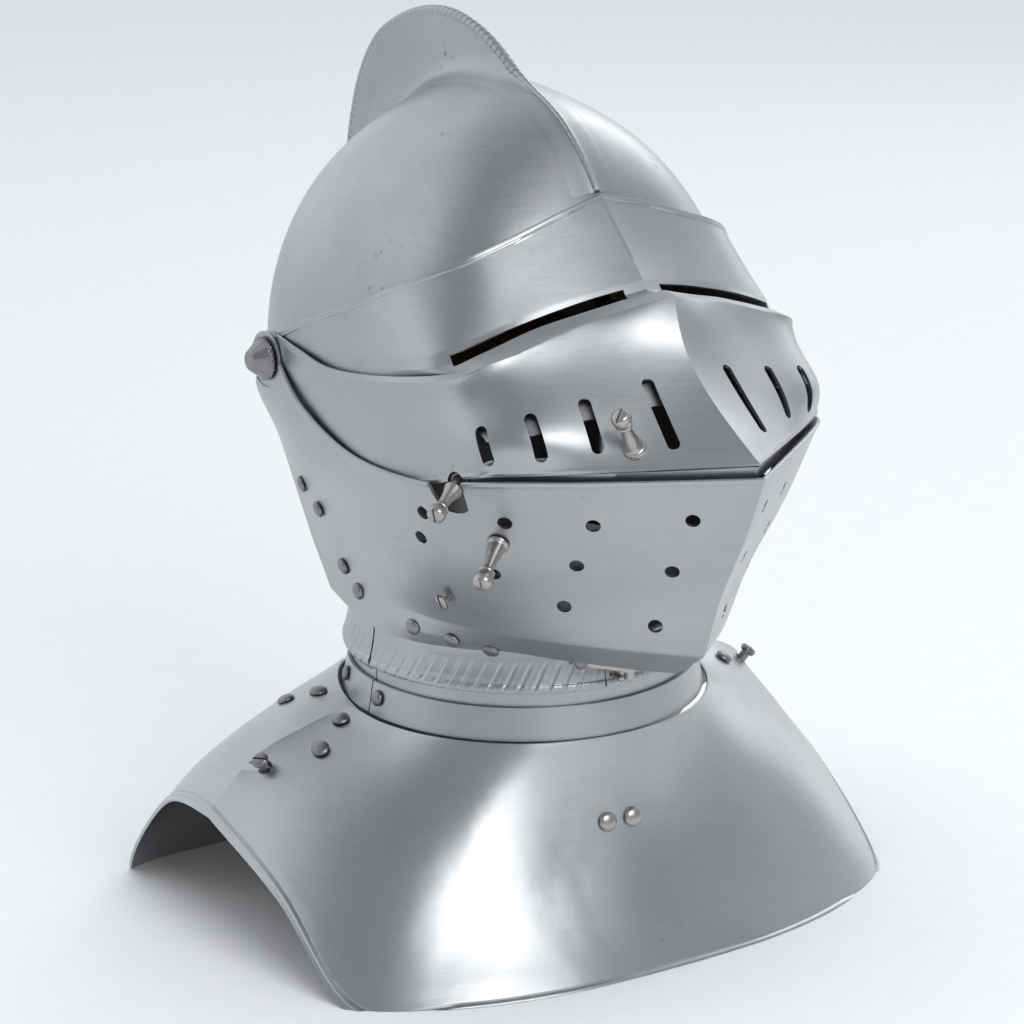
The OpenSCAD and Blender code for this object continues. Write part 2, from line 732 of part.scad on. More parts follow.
// Rails of the right half, from the ridge to the rear edge: upper edge, three across the
// cheek, the chin's fold, the underside and the edge round the neck
bevor_rails = [
    [[0, -212.5, 260], [-25, -191.4, 257.8], [-48, -172, 256], [-67, -156, 254.7],
        [-85, -140.7, 253.9], [-100.6, -123, 252], [-110, -92, 247], [-112.3, -36, 246.5],
        [-111.6, 12, 259.5], [-108.6, 42, 279]],
    [[0, -202, 234], [-24, -181.5, 234], [-46, -163, 233], [-65, -146.5, 232],
        [-83, -131, 231], [-97, -112, 230], [-107.5, -82, 228], [-110.5, -32, 229],
        [-110, 18, 240], [-108.4, 60, 260]],
    [[0, -190, 212], [-22, -171, 211.5], [-43, -153, 210], [-62, -136.5, 209],
        [-79, -121, 208], [-91.5, -102, 207], [-100.5, -72, 206], [-103.5, -28, 207],
        [-101.5, 18, 214], [-97.5, 58, 232]],
    [[0, -178, 190], [-20, -160, 189], [-39, -143, 187], [-57, -126, 186],
        [-72, -109.5, 185], [-83.5, -90, 184], [-92, -63, 184], [-96, -26, 185],
        [-95, 14, 189], [-91.8, 49, 202]],
    [[0, -168, 162], [-16, -155, 163], [-32, -141, 164], [-49, -123, 165],
        [-63, -104, 165.5], [-75, -82, 166], [-85, -56, 167], [-90.5, -26, 168],
        [-91, 6, 170], [-89.3, 39, 180]],
    [[0, -148, 148], [-15, -135, 149], [-31, -122, 151], [-48, -106, 153],
        [-62.5, -90, 155], [-75.5, -70.5, 156.5], [-85, -50, 157.5], [-90.3, -24, 159],
        [-90.5, 2, 161], [-88.8, 31, 169]],
    [[0, -104, 151], [-16.5, -102.5, 151], [-33.5, -97.5, 151], [-49.5, -89, 151],
        [-63, -78, 151], [-75, -63, 151], [-83.5, -46, 150.5], [-88.4, -25, 150.5],
        [-89, -2, 152.5], [-88.4, 24, 159]]];

// Breath holes on the wearer's right, in columns from the ridge to the cheek
hole_places = [
    [-20.5, -186, 237], [-20.5, -170.5, 208.5], [-20, -157, 178], [-54.5, -155.5, 232.5],
    [-55, -143, 210], [-53, -130, 186.5], [-85.5, -129, 232], [-81.5, -113.5, 202.5],
    [-106, -90.5, 230.5], [-102.5, -83, 216]];

function hole_axis(p) = p[0] < -100 ? [-0.93, -0.22, -0.3] : [-0.62, -0.68, -0.38];

notch = [[-100, 244], [-102.5, 237], [-110.5, 234.5], [-116.5, 237], [-120.5, 275],
    [-95, 275]];
bevor_peg_place = [-85, -122.5, 220.5];
bevor_peg_axis = [-0.69, -0.56, -0.45];
bevor_peg_normal = [-0.69, -0.61, -0.39];
catch_place = [-86.2, -80, 182];
catch_axis = [-0.82, -0.3, -0.48];

module bevor() {
    us = span(0, 9, 18);
    vs = [0, 0.5, 1, 1.5, 2, 2.5, 3, 3.5, 4, 5, 6];
    color(steel) placed() difference() {
        pivoted_plate(whole(surface_grid(bevor_rails, us, vs)), bevor_x);
        for (side = [-1, 1]) for (p = hole_places)
            scale([side, 1, 1]) facing(p, hole_axis(p)) cylinder(h = 24, r = hole_r,
                center = true);
        intersection() {
            across(notch);
            translate([-150, -200, 200]) cube([60, 200, 100]);
        }
        pivot_bores();
        facing(bevor_peg_place, bevor_peg_axis) cylinder(h = 24, r = 3.25, center = true);
        facing(catch_place, catch_axis) cylinder(h = 24, r = 1.5 + run_clearance,
            center = true);
        for (side = [-1, 1]) for (p = bevor_rivet_places)
            scale([side, 1, 1]) facing(p[0], p[1]) cylinder(h = 8, r = 1.6, center = true);
    }
}

module bevor_peg() {
    color(bright_steel) placed()
        lifting_peg(bevor_peg_place, bevor_peg_axis, bevor_peg_normal, 28);
}

// Rivets along the lower edge and up the rear edge, each with its outward direction
bevor_rivet_places = [
    [[-64, -84.5, 153.5], [-0.62, -0.42, -0.66]], [[-76.3, -69, 156.4], [-0.78, -0.4, -0.48]],
    [[-85.5, -48.6, 159], [-0.95, -0.26, -0.14]], [[-91, -7.5, 166.6], [-0.99, 0, -0.11]],
    [[-92.7, 3.7, 176.7], [-0.96, 0.06, -0.26]], [[-98.8, 16.5, 203.7], [-0.96, 0.12, -0.27]],
    [[-97.5, 34.6, 211.7], [-0.94, 0.22, -0.25]]];

module bevor_rivets() {
    color(dark_steel) placed()
        for (side = [-1, 1]) for (p = bevor_rivet_places)
            scale([side, 1, 1]) facing(p[0] + 0.35 * p[1], p[1]) rivet(4.2, 1.5, 3.3);
}

// ---------------------------------------------------------------- locks

// The pin runs in the band; its spring sits between the band and the pin's inner flange
pin_r = 2.6;
pin_flange_z = -15;

module locking_pin() {
    color(bright_steel) placed() facing(lock_place, lock_axis) {
        translate([0, 0, pin_flange_z]) cylinder(h = 18, r = pin_r);
        translate([0, 0, pin_flange_z]) cylinder(h = 1.5, r = 5);
        translate([0, 0, 3]) rotate_extrude()
            polygon([[0, 0], [4.4, 0], [4.4, 1.4], [3, 7], [2.5, 13], [3.8, 15], [4.2, 19],
                [3, 21], [0, 21]]);
    }
}

module locking_spring() {
    color(dark_steel) placed() facing(lock_place, lock_axis)
        translate([0, 0, -9.3]) difference() {
            cylinder(h = 6.5, r = 4.4);
            translate([0, 0, -1]) cylinder(h = 9, r = 3);
        }
}

hook_angle = 16;
hook_z = 145.5;
hook_r = 90.6;
hook_length = 28.6;
hook_out = ring_point(1, hook_angle, 0) - [0, neck_y, 0];

module hook_bar() {
    color(bright_steel) placed()
        facing(ring_point(hook_r, hook_angle, hook_z), hook_out, [0.96, -0.12, -0.24])
            difference() {
                union() {
                    cylinder(h = 1.6, r = 4);
                    translate([0, -2, 0]) cube([hook_length, 4, 1.6]);
                    translate([hook_length - 2.4, -6, 0]) cube([2.4, 8, 1.6]);
                }
                translate([0, 0, -1]) cylinder(h = 4, r = 1.5 + run_clearance);
            }
}

module hook_rivet() {
    color(dark_steel) placed()
        facing(ring_point(hook_r, hook_angle, hook_z), hook_out) {
            translate([0, 0, -5]) cylinder(h = 7, r = 1.5);
            translate([0, 0, 1.9]) rotate_extrude()
                polygon([[0, 0], [3.4, 0], [2.8, 1.4], [1.2, 2], [0, 2]]);
        }
}

module hook_stud() {
    a = 3.5;
    color(dark_steel) placed()
        facing(ring_point(89.8, a, 135.2), ring_point(1, a, 0) - [0, neck_y, 0])
            cylinder(h = 6, r = 1.6);
}

module turn_catch() {
    color(bright_steel) placed() facing(catch_place, catch_axis) {
        translate([0, 0, -5]) cylinder(h = 8, r = 1.5);
        translate([0, 0, 2.8]) difference() {
            translate([-3, -2.5, 0]) cube([9, 5, 2.2]);
            translate([-4, -0.5, 1.5]) cube([12, 1, 1]);
        }
    }
}

module catch_plate() {
    color(dark_steel) placed() facing(catch_place, catch_axis) difference() {
        translate([0, 0, -4.2]) cylinder(h = 1.2, r = 5);
        translate([0, 0, -6]) cylinder(h = 5, r = 1.5 + run_clearance);
    }
}

gorget_front_plate();
gorget_back_plate();
collar_lower_front();
collar_lower_back();
collar_upper_front();
collar_upper_back();
gorget_rivets();
breast_rivets();
shoulder_stud_right();
shoulder_stud_left();
skull();
comb();
nape_plate();
nape_rivets();
liner_cap();
lining_band();
pivot_spacers();
pivot_bolt_right();
pivot_bolt_left();
pivot_nuts();
rosette_right();
rosette_left();
visor();
ventail();
ventail_strip();
ventail_peg();
bevor();
neck_lame_right();
neck_lame_left();
bevor_rivets();
bevor_peg();
locking_pin();
locking_spring();
hook_bar();
hook_rivet();
hook_stud();
turn_catch();
catch_plate();
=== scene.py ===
import math

import bmesh
import bpy
import numpy as np
from mathutils import Matrix, Vector


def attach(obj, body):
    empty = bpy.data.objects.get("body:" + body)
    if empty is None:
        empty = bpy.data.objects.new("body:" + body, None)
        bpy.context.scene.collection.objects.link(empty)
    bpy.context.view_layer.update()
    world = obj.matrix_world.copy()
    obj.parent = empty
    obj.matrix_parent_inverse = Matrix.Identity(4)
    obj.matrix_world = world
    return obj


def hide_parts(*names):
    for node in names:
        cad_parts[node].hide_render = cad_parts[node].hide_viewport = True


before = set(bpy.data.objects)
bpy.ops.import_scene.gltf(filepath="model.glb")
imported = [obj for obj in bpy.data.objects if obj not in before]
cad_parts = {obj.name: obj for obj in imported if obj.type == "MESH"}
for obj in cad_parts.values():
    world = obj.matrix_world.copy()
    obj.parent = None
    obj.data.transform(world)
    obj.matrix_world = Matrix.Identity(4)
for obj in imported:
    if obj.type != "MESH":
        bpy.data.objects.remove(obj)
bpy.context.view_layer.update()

# Numbers below are in millimetres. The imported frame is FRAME_Y further along +Y.
FRAME_Y = 31.0
PLATE = 1.5
GORGET_PLATE = 1.6
PIVOT = np.array([0.0, 50.0, 274.0])
NECK_Y = -15.0
ARM_R, ARM_CLEAR, PIVOT_BORE = 13.5, 0.8, 3.1
VISOR_X, VENTAIL_X, BEVOR_X, ROSETTE_X = 104.2, 106.3, 108.4, 108.7


# ------------------------------------------------------------------ numbers and grids

def curve(p, t):
    p = np.asarray(p, float)
    t = np.atleast_1d(np.asarray(t, float))
    n = len(p) - 1
    i = np.clip(np.floor(t).astype(int), 0, n - 1)
    f = (t - i).reshape((-1,) + (1,) * (p.ndim - 1))
    b, c = p[i], p[i + 1]
    first = (i == 0).reshape(f.shape)
    last = (i + 2 > n).reshape(f.shape)
    a = np.where(first, 2 * b - c, p[np.maximum(i - 1, 0)])
    d = np.where(last, 2 * c - b, p[np.minimum(i + 2, n)])
    return b + f * ((c - a) + f * ((2 * a - 5 * b + 4 * c - d) + f * (3 * b - a - 3 * c + d))) / 2


def surface(rails, us, vs, straight=()):
    """Points (v, u, 3) on the surface through the rails; spans of v in `straight` are ruled."""
    along = curve(np.asarray(rails, float).transpose(1, 0, 2), us).transpose(1, 0, 2)
    grid = curve(along, vs)
    vs = np.asarray(vs, float)
    for a, b in straight:
        ends = curve(along, [a, b])
        for j in np.nonzero((vs > a) & (vs < b))[0]:
            w = (vs[j] - a) / (b - a)
            grid[j] = (1 - w) * ends[0] + w * ends[1]
    return grid


def whole(grid):
    return np.concatenate([grid[:, :0:-1] * np.array([-1.0, 1, 1]), grid], axis=1)


def unit(v):
    v = np.asarray(v, float)
    return v / np.maximum(np.linalg.norm(v, axis=-1, keepdims=True), 1e-12)


def normals(grid, wrap=False):
    if wrap:
        du = np.roll(grid, -1, axis=1) - np.roll(grid, 1, axis=1)
    else:
        du = np.gradient(grid, axis=1)
    dv = np.gradient(grid, axis=0)
    return unit(np.cross(du, dv))


def spread(a, b, n):
    return np.linspace(a, b, n, endpoint=False)


def step(x, a, b):
    """Eases from 0 at a to 1 at b."""
    t = np.clip((np.asarray(x, float) - a) / (b - a), 0, 1)
    return t * t * (3 - 2 * t)


def bump(x, middle, half):
    return np.clip(1 - ((np.asarray(x, float) - middle) / half) ** 2, 0, 1) ** 2


def relax(grid, rounds, first, last):
    """Evens out the surface between two rows, as planishing does; rows outside stay."""
    g = grid.copy()
    middle = g.shape[1] // 2
    j = np.arange(g.shape[0])
    hold = step(j, first, first + 6) * (1 - step(j, last - 6, last))
    hold = hold[1:-1, None, None]
    for _ in range(rounds):
        mean = (g[:-2, 1:-1] + g[2:, 1:-1] + g[1:-1, :-2] + g[1:-1, 2:]) / 4
        keep_ridge = g[1:-1, middle].copy()
        vertical = (g[:-2, middle] + g[2:, middle]) / 2
        g[1:-1, 1:-1] += hold * 0.8 * (mean - g[1:-1, 1:-1])
        g[1:-1, middle] = keep_ridge + hold[:, 0] * 0.8 * (vertical - keep_ridge)
    return g


def ease_middle(grid, reach, rounds):
    """Rounds a mirrored surface over its middle line."""
    g = grid.copy()
    hold = 0.5 * (1 - step(np.abs(g[:, 1:-1, :1]), 0.25 * reach, reach))
    for _ in range(rounds):
        g[:, 1:-1] += hold * ((g[:, :-2] + g[:, 2:]) / 2 - g[:, 1:-1])
    return g


def from_edge(grid, row):
    """Distance of every grid point from one of the grid's rows, along v."""
    d = np.linalg.norm(np.diff(grid, axis=0), axis=2)
    s = np.concatenate([np.zeros((1, grid.shape[1])), np.cumsum(d, axis=0)])
    return np.abs(s - s[row])


# ------------------------------------------------------------------ meshes

def make(name, verts, faces):
    me = bpy.data.meshes.new(name)
    v = (np.asarray(verts, float) + np.array([0, FRAME_Y, 0])) / 1000.0
    me.from_pydata(v.tolist(), [], [tuple(int(i) for i in f) for f in faces])
    me.validate()
    o = bpy.data.objects.new(name, me)
    bpy.context.scene.collection.objects.link(o)
    b = bmesh.new()
    b.from_mesh(me)
    bmesh.ops.remove_doubles(b, verts=b.verts, dist=2e-6)
    bmesh.ops.recalc_face_normals(b, faces=b.faces)
    b.to_mesh(me)
    b.free()
    return o


def grid_faces(rows, cols, start=0, wrap=False):
    out = []
    for j in range(rows - 1):
        for i in range(cols if wrap else cols - 1):
            k = (i + 1) % cols
            out.append((start + j * cols + i, start + (j + 1) * cols + i,
                        start + (j + 1) * cols + k, start + j * cols + k))
    return out


def stacked(rings):
    """Verts and faces of a closed solid through outlines of the same number of points."""
    rings = np.asarray(rings, float)
    rows, cols = rings.shape[:2]
    caps = [tuple(range(cols)), tuple(range((rows - 1) * cols, rows * cols))]
    return rings.reshape(-1, 3), grid_faces(rows, cols, 0, True) + caps


def sheet(name, grid, inside, outside=0.0, soften=0.28):
    """A plate along a grid with softened outer edges."""
    n = normals(grid)
    rows, cols = grid.shape[:2]
    upper = grid + n * (np.asarray(outside)[..., None] if np.ndim(outside) else outside)
    lower = grid - n * inside
    verts = np.concatenate([upper.reshape(-1, 3), lower.reshape(-1, 3)])
    low = rows * cols
    faces = grid_faces(rows, cols) + grid_faces(rows, cols, low)
    loop = ([(0, i) for i in range(cols)] + [(j, cols - 1) for j in range(1, rows)]
            + [(rows - 1, i) for i in range(cols - 2, -1, -1)]
            + [(j, 0) for j in range(rows - 2, 0, -1)])
    ids = [j * cols + i for j, i in loop]
    # the rim bulges a little between the two skins, as a filed edge does
    middle = []
    for j, i in loop:
        jj = min(max(j, 1), rows - 2)
        ii = min(max(i, 1), cols - 2)
        away = unit(grid[j, i] - grid[jj, ii])
        middle.append((upper[j, i] + lower[j, i]) / 2 + away * soften)
    base = len(verts)
    verts = np.concatenate([verts, np.array(middle)])
    for k in range(len(ids)):
        m = (k + 1) % len(ids)
        faces.append((ids[k], ids[m], base + m, base + k))
        faces.append((base + k, base + m, low + ids[m], low + ids[k]))
    return make(name, verts, faces)


def frame_at(p, n, lean=(0, 0, 1)):
    z = unit(n)
    y = unit(np.cross(z, lean))
    x = np.cross(y, z)
    m = np.eye(4)
    m[:3, 0], m[:3, 1], m[:3, 2], m[:3, 3] = x, y, z, p
    return m


def put(m, pts):
    pts = np.asarray(pts, float)
    return pts @ m[:3, :3].T + m[:3, 3]


def lathe(profile, m, n=40, wobble=None):
    """Verts and faces of a profile in (r, z) turned about the frame's Z."""
    profile = np.asarray(profile, float)
    a = np.linspace(0, 2 * np.pi, n, endpoint=False)
    pts = []
    for r, z in profile:
        rr = np.full(n, r) if wobble is None else wobble(r, z, a)
        pts.append(np.stack([rr * np.cos(a), rr * np.sin(a), np.full(n, z)], axis=1))
    verts, faces = stacked(pts)
    return put(m, verts), faces


def joined(name, parts):
    verts, faces, base = [], [], 0
    for v, f in parts:
        verts.append(np.asarray(v))
        faces += [tuple(i + base for i in q) for q in f]
        base += len(v)
    return make(name, np.concatenate(verts), faces)


def box_part(m, low, high):
    c = np.array([[x, y, z] for x in (low[0], high[0]) for y in (low[1], high[1])
                  for z in (low[2], high[2])], float)
    f = [(0, 1, 3, 2), (4, 6, 7, 5), (0, 4, 5, 1), (2, 3, 7, 6), (0, 2, 6, 4), (1, 5, 7, 3)]
    return put(m, c), f


def prism(outline, low, high, place):
    """A closed solid between two copies of an outline; place(x, y, at) gives each point."""
    k = len(outline)
    return ([place(x, y, at) for at in (low, high) for x, y in outline],
            [(i, (i + 1) % k, k + (i + 1) % k, k + i) for i in range(k)]
            + [tuple(range(k)), tuple(range(k, 2 * k))])


def across(outline, low=-200, high=200):
    """A prism through an outline in (y, z), between two places in x."""
    return prism(outline, low, high, lambda y, z, x: (x, y, z))


def drill(r, reach, place, axis, n=32):
    return lathe([(r, -reach), (r, reach)], frame_at(place, axis), n)


def slot_part(m, run, width, depth=8, n=14):
    """A long hole with round ends along the frame's X, as a solid to cut with."""
    a = np.linspace(-np.pi / 2, np.pi / 2, n)
    r = width / 2
    ring = [(run + r * np.cos(t), r * np.sin(t)) for t in a]
    ring += [(-r * np.cos(t), -r * np.sin(t)) for t in a]
    pts, faces = prism(ring, -depth, depth, lambda x, y, z: (x, y, z))
    return put(m, pts), faces


def mirrored(part):
    v, f = part
    return np.asarray(v) * np.array([-1.0, 1, 1]), f


def modify(o, kind, **values):
    m = o.modifiers.new(kind.title(), kind)
    for k, v in values.items():
        setattr(m, k, v)
    bpy.context.view_layer.objects.active = o
    for other in bpy.context.selected_objects:
        other.select_set(False)
    o.select_set(True)
    bpy.ops.object.modifier_apply(modifier=m.name)
    return o


def cut(o, parts):
    """Cuts closed solids out of a piece; the exact solver is for tools that overlap badly."""
    tool = joined(o.name + "_tool", parts)
    before = len(o.data.polygons)
    spare = o.data.copy()
    modify(o, "BOOLEAN", operation="DIFFERENCE", object=tool, solver="MANIFOLD")
    if len(o.data.polygons) < before * 0.5:
        o.data = spare
        modify(o, "BOOLEAN", operation="DIFFERENCE", object=tool, solver="EXACT", use_self=True)
    bpy.data.objects.remove(tool)
    return o


def add(o, parts):
    """Joins loose closed pieces into the object's mesh."""
    extra = joined(o.name + "_extra", parts)
    b = bmesh.new()
    b.from_mesh(o.data)
    b.from_mesh(extra.data)
    b.to_mesh(o.data)
    b.free()
    bpy.data.objects.remove(extra)
    return o


def clean(o, angle=32):
    b = bmesh.new()
    b.from_mesh(o.data)
    bmesh.ops.dissolve_degenerate(b, edges=b.edges, dist=1e-6)
    b.to_mesh(o.data)
    b.free()
    o.data.shade_smooth()
    o.data.set_sharp_from_angle(angle=math.radians(angle))
    return o


def finish_piece(o, body, nodes, material, angle=32):
    """Gives a piece its steel, body and stand-ins; the slot goes by the material."""
    clean(o, angle)
    o.data.materials.clear()
    o.data.materials.append(material)
    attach(o, body)
    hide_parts(*nodes)
    return o


def ring_point(r, angle, z):
    a = np.radians(angle)
    return np.array([-r * np.sin(a), NECK_Y - r * np.cos(a), z])


# ------------------------------------------------------------------ materials

class Nodes:
    """Short ways to add and join the nodes of one material."""

    def __init__(self, name):
        self.material = bpy.data.materials.new(name)
        self.material.use_nodes = True
        self.tree = self.material.node_tree
        self.shader = self.tree.nodes["Principled BSDF"]
        self.place = self.add("TexCoord").outputs["Object"]

    def add(self, kind, **values):
        x = self.tree.nodes.new("ShaderNode" + kind)
        for k, v in values.items():
            if k in x.inputs:
                x.inputs[k].default_value = v
            else:
                setattr(x, k, v)
        return x

    def link(self, a, b):
        self.tree.links.new(a, b)

    def texture(self, kind, place=None, **values):
        x = self.add("Tex" + kind, **values)
        self.link(place or self.place, x.inputs["Vector"])
        return x

    def remap(self, value, from_min, from_max, to_min, to_max):
        x = self.add("MapRange")
        for k, v in (("From Min", from_min), ("From Max", from_max), ("To Min", to_min),
                     ("To Max", to_max)):
            x.inputs[k].default_value = v
        self.link(value, x.inputs["Value"])
        return x.outputs["Result"]

    def ramp(self, value, low, high, start=0.0, end=1.0):
        x = self.add("ValToRGB")
        for e, colour, at in zip(x.color_ramp.elements, (low, high), (start, end)):
            e.position = at
            e.color = (*colour, 1)
        self.link(value, x.inputs["Fac"])
        return x.outputs["Color"]

    def tinted(self, colour, shade):
        x = self.add("Mix", data_type="RGBA", blend_type="MULTIPLY")
        x.inputs[0].default_value = 1.0
        self.link(colour, x.inputs[6])
        self.link(shade, x.inputs[7])
        return x.outputs[2]

    def times(self, a, b):
        x = self.add("Math", operation="MULTIPLY")
        self.link(a, x.inputs[0])
        if isinstance(b, float):
            x.inputs[1].default_value = b
        else:
            self.link(b, x.inputs[1])
        return x.outputs["Value"]

    def bump(self, height, strength, distance, below=None):
        x = self.add("Bump", Strength=strength, Distance=distance)
        self.link(height, x.inputs["Height"])
        if below is not None:
            self.link(below, x.inputs["Normal"])
        return x.outputs["Normal"]


def steel(name, base, rough, grain, brush=1.0, stain=0.5, pits=0.0, stretch=0.0):
    """Brushed steel: fine lines run along the surface, with soft stains, hammer marks and pits."""
    n = Nodes(name)
    n.shader.inputs["Metallic"].default_value = 1.0
    n.shader.inputs["IOR"].default_value = 2.5
    if stretch:
        n.shader.inputs["Anisotropic"].default_value = stretch
        n.shader.inputs["Anisotropic Rotation"].default_value = 0.25

    # brushing: long streaks across the helmet, thin up and down
    lines = n.add("Mapping", Scale=(34.0, 34.0, grain))
    n.link(n.place, lines.inputs["Vector"])
    fine = n.texture("Noise", lines.outputs["Vector"], Scale=1.0, Detail=5.0, Roughness=0.65)
    # grain left by the abrasive
    sand = n.texture("Noise", Scale=900.0, Detail=3.0)
    # hammer marks and hand-shaped unevenness
    dents = n.texture("Noise", Scale=26.0, Detail=2.5, Roughness=0.45)
    # soft stains and handling marks
    marks = n.texture("Noise", Scale=9.0, Detail=7.0, Roughness=0.62, Distortion=0.4)

    tone = n.ramp(marks.outputs["Fac"], [c * (1 - 0.16 * stain) for c in base],
                  (base[0] * 1.04, base[1] * 1.04, base[2] * 1.05), 0.3, 0.72)
    colour = n.tinted(tone, n.remap(fine.outputs["Fac"], 0.3, 0.7, 0.965, 1.03))
    spots = n.texture("Voronoi", Scale=160.0)
    where = n.texture("Noise", Scale=30.0, Detail=3.0)
    few = n.remap(where.outputs["Fac"], 0.6, 0.72, 0.0, 1.0)
    small = n.remap(spots.outputs["Distance"], 0.28, 0.12, 0.0, 1.0)
    dark = n.add("Mix", data_type="RGBA")
    dark.inputs[7].default_value = (0.10, 0.095, 0.09, 1)
    n.link(n.times(n.times(few, small), pits), dark.inputs[0])
    n.link(colour, dark.inputs[6])
    n.link(dark.outputs[2], n.shader.inputs["Base Color"])

    # roughness follows the stains and the brushing
    rubbed = n.add("Math", operation="MULTIPLY_ADD")
    rubbed.inputs[1].default_value = 0.10
    n.link(fine.outputs["Fac"], rubbed.inputs[0])
    n.link(n.remap(marks.outputs["Fac"], 0.3, 0.7, rough * 1.18, rough * 0.86), rubbed.inputs[2])
    n.link(rubbed.outputs["Value"], n.shader.inputs["Roughness"])

    brushed = n.bump(fine.outputs["Fac"], 0.24 * brush, 0.00012)
    sanded = n.bump(sand.outputs["Fac"], 0.22, 0.00010, brushed)
    n.link(n.bump(dents.outputs["Fac"], 0.30, 0.0016, sanded), n.shader.inputs["Normal"])
    return n.material


def leather(name):
    n = Nodes(name)
    cells = n.texture("Voronoi", Scale=650.0)
    tint = n.texture("Noise", Scale=22.0, Detail=6.0).outputs["Fac"]
    n.link(n.ramp(tint, (0.085, 0.042, 0.022), (0.24, 0.135, 0.075)),
           n.shader.inputs["Base Color"])
    n.link(n.bump(cells.outputs["Distance"], 0.5, 0.0003), n.shader.inputs["Normal"])
    n.link(n.remap(tint, 0.0, 1.0, 0.45, 0.7), n.shader.inputs["Roughness"])
    return n.material


def linen(name):
    n = Nodes(name)
    n.shader.inputs["Roughness"].default_value = 0.92
    n.shader.inputs["Sheen Weight"].default_value = 0.25
    over = n.add("Math", operation="MAXIMUM")
    for i, direction in enumerate(("X", "Z")):
        threads = n.texture("Wave", bands_direction=direction, Scale=420.0, Distortion=1.5,
                            Detail=1.0)
        n.link(threads.outputs["Fac"], over.inputs[i])
    height = over.outputs["Value"]
    spots = n.texture("Noise", Scale=14.0, Detail=6.0)
    cloth = n.ramp(spots.outputs["Fac"], (0.44, 0.38, 0.28), (0.70, 0.64, 0.52))
    n.link(n.tinted(cloth, n.remap(height, 0.0, 1.0, 0.7, 1.0)), n.shader.inputs["Base Color"])
    n.link(n.bump(height, 0.6, 0.0004), n.shader.inputs["Normal"])
    return n.material


# name, colour, roughness, brushing lines, brushing depth, stain, pits, stretch of highlights
PLATE_STEEL = steel("plate_steel", (0.44, 0.452, 0.467), 0.30, 900.0, 1.0, 0.6, 0.25, 0.4)
GORGET_STEEL = steel("gorget_steel", (0.48, 0.49, 0.503), 0.27, 1100.0, 1.2, 0.5, 0.15, 0.75)
SKULL_STEEL = steel("skull_steel", (0.43, 0.437, 0.45), 0.34, 900.0, 0.8, 0.8, 0.6, 0.4)
ROSETTE_STEEL = steel("rosette_steel", (0.30, 0.30, 0.305), 0.28, 500.0, 1.0, 1.0, 0.5)
BRIGHT_STEEL = steel("bright_steel", (0.43, 0.415, 0.395), 0.24, 600.0, 1.2, 0.7, 0.3)
DARK_STEEL = steel("dark_steel", (0.27, 0.27, 0.275), 0.3, 500.0, 1.0, 1.0, 0.5)
LEATHER = leather("leather_brown")
LINEN = linen("linen")

# ------------------------------------------------------------------ rails, as in the CAD

front_rails = [
    [ring_point(94, a, 106) for a in (0, 22, 42, 62, 80, 98)],
    [[0, -114, 70], [-40, -108, 70], [-75, -99, 71], [-105, -74, 77], [-116, -38, 92],
     [-118, -3, 101.5]],
    [[0, -127, 34], [-49, -122, 34], [-92, -114, 36], [-131, -93, 42], [-144, -45, 68],
     [-146, 2, 88.5]],
    [[0, -155, -3], [-60, -151.5, -3], [-113, -138, -3], [-158, -111, -3], [-165, -52, 37],
     [-168, 12, 60]]]

back_rails = [
    [ring_point(r, a, z) for a, r, z in ((94, 91.3, 103.5), (112, 92.5, 107), (130, 93.5, 109),
                                         (150, 93.5, 109), (165, 93.5, 109), (180, 93.5, 109))],
    [[-115.5, -6, 97.8], [-116.5, 28, 100], [-100, 56, 93], [-66, 77, 85], [-32, 86, 81],
     [0, 88, 80]],
    [[-144.5, -2, 84.2], [-148, 40, 80], [-134, 78, 53], [-88, 92, 43], [-44, 99, 39],
     [0, 101, 38]],
    [[-163.8, 2, 56.5], [-169, 52, 54], [-162, 105, -3], [-108, 109, -3], [-54, 112, -3],
     [0, 113, -3]]]

visor_rails = [
    [[0, -80.5, 367.3], [-24, -82, 361.6], [-50, -80.5, 352.8], [-73.5, -74, 343.8],
     [-90.5, -57, 333.4], [-97, -42.5, 326], [-101, -27, 318.5], [-104, 8, 304],
     [-104.4, 30, 294.5], [-104.2, 46, 287]],
    [[0, -116, 333], [-25, -109, 328], [-50, -102.7, 322], [-77, -95.5, 312],
     [-92, -89, 306], [-100, -75, 301], [-104.5, -44, 295], [-106, -5, 288],
     [-105.1, 24, 282], [-104.2, 46, 276]],
    [[0, -119.5, 329.2], [-26, -112, 323.2], [-54, -105, 315.2], [-77, -100.5, 307.2],
     [-92, -93, 300.5], [-100.5, -79, 296], [-105, -48, 290], [-106.3, -8, 283],
     [-105.1, 23, 277], [-104.2, 46, 271.5]],
    [[0, -131, 329.5], [-23.5, -119.3, 321.8], [-46.5, -113.5, 315], [-69, -109.5, 307],
     [-84.5, -104, 300.8], [-94, -93.5, 294.5], [-104, -56, 286], [-106.6, -12, 278.5],
     [-105.1, 22, 272], [-104.2, 46, 266]],
    [[0, -132, 319.5], [-23.5, -120, 312], [-46.5, -114.5, 305.5], [-69, -110.5, 297.5],
     [-85, -105, 291], [-95, -94, 284.5], [-104.5, -58, 277], [-106.6, -14, 269.5],
     [-105, 20, 265], [-104.2, 46, 261]]]

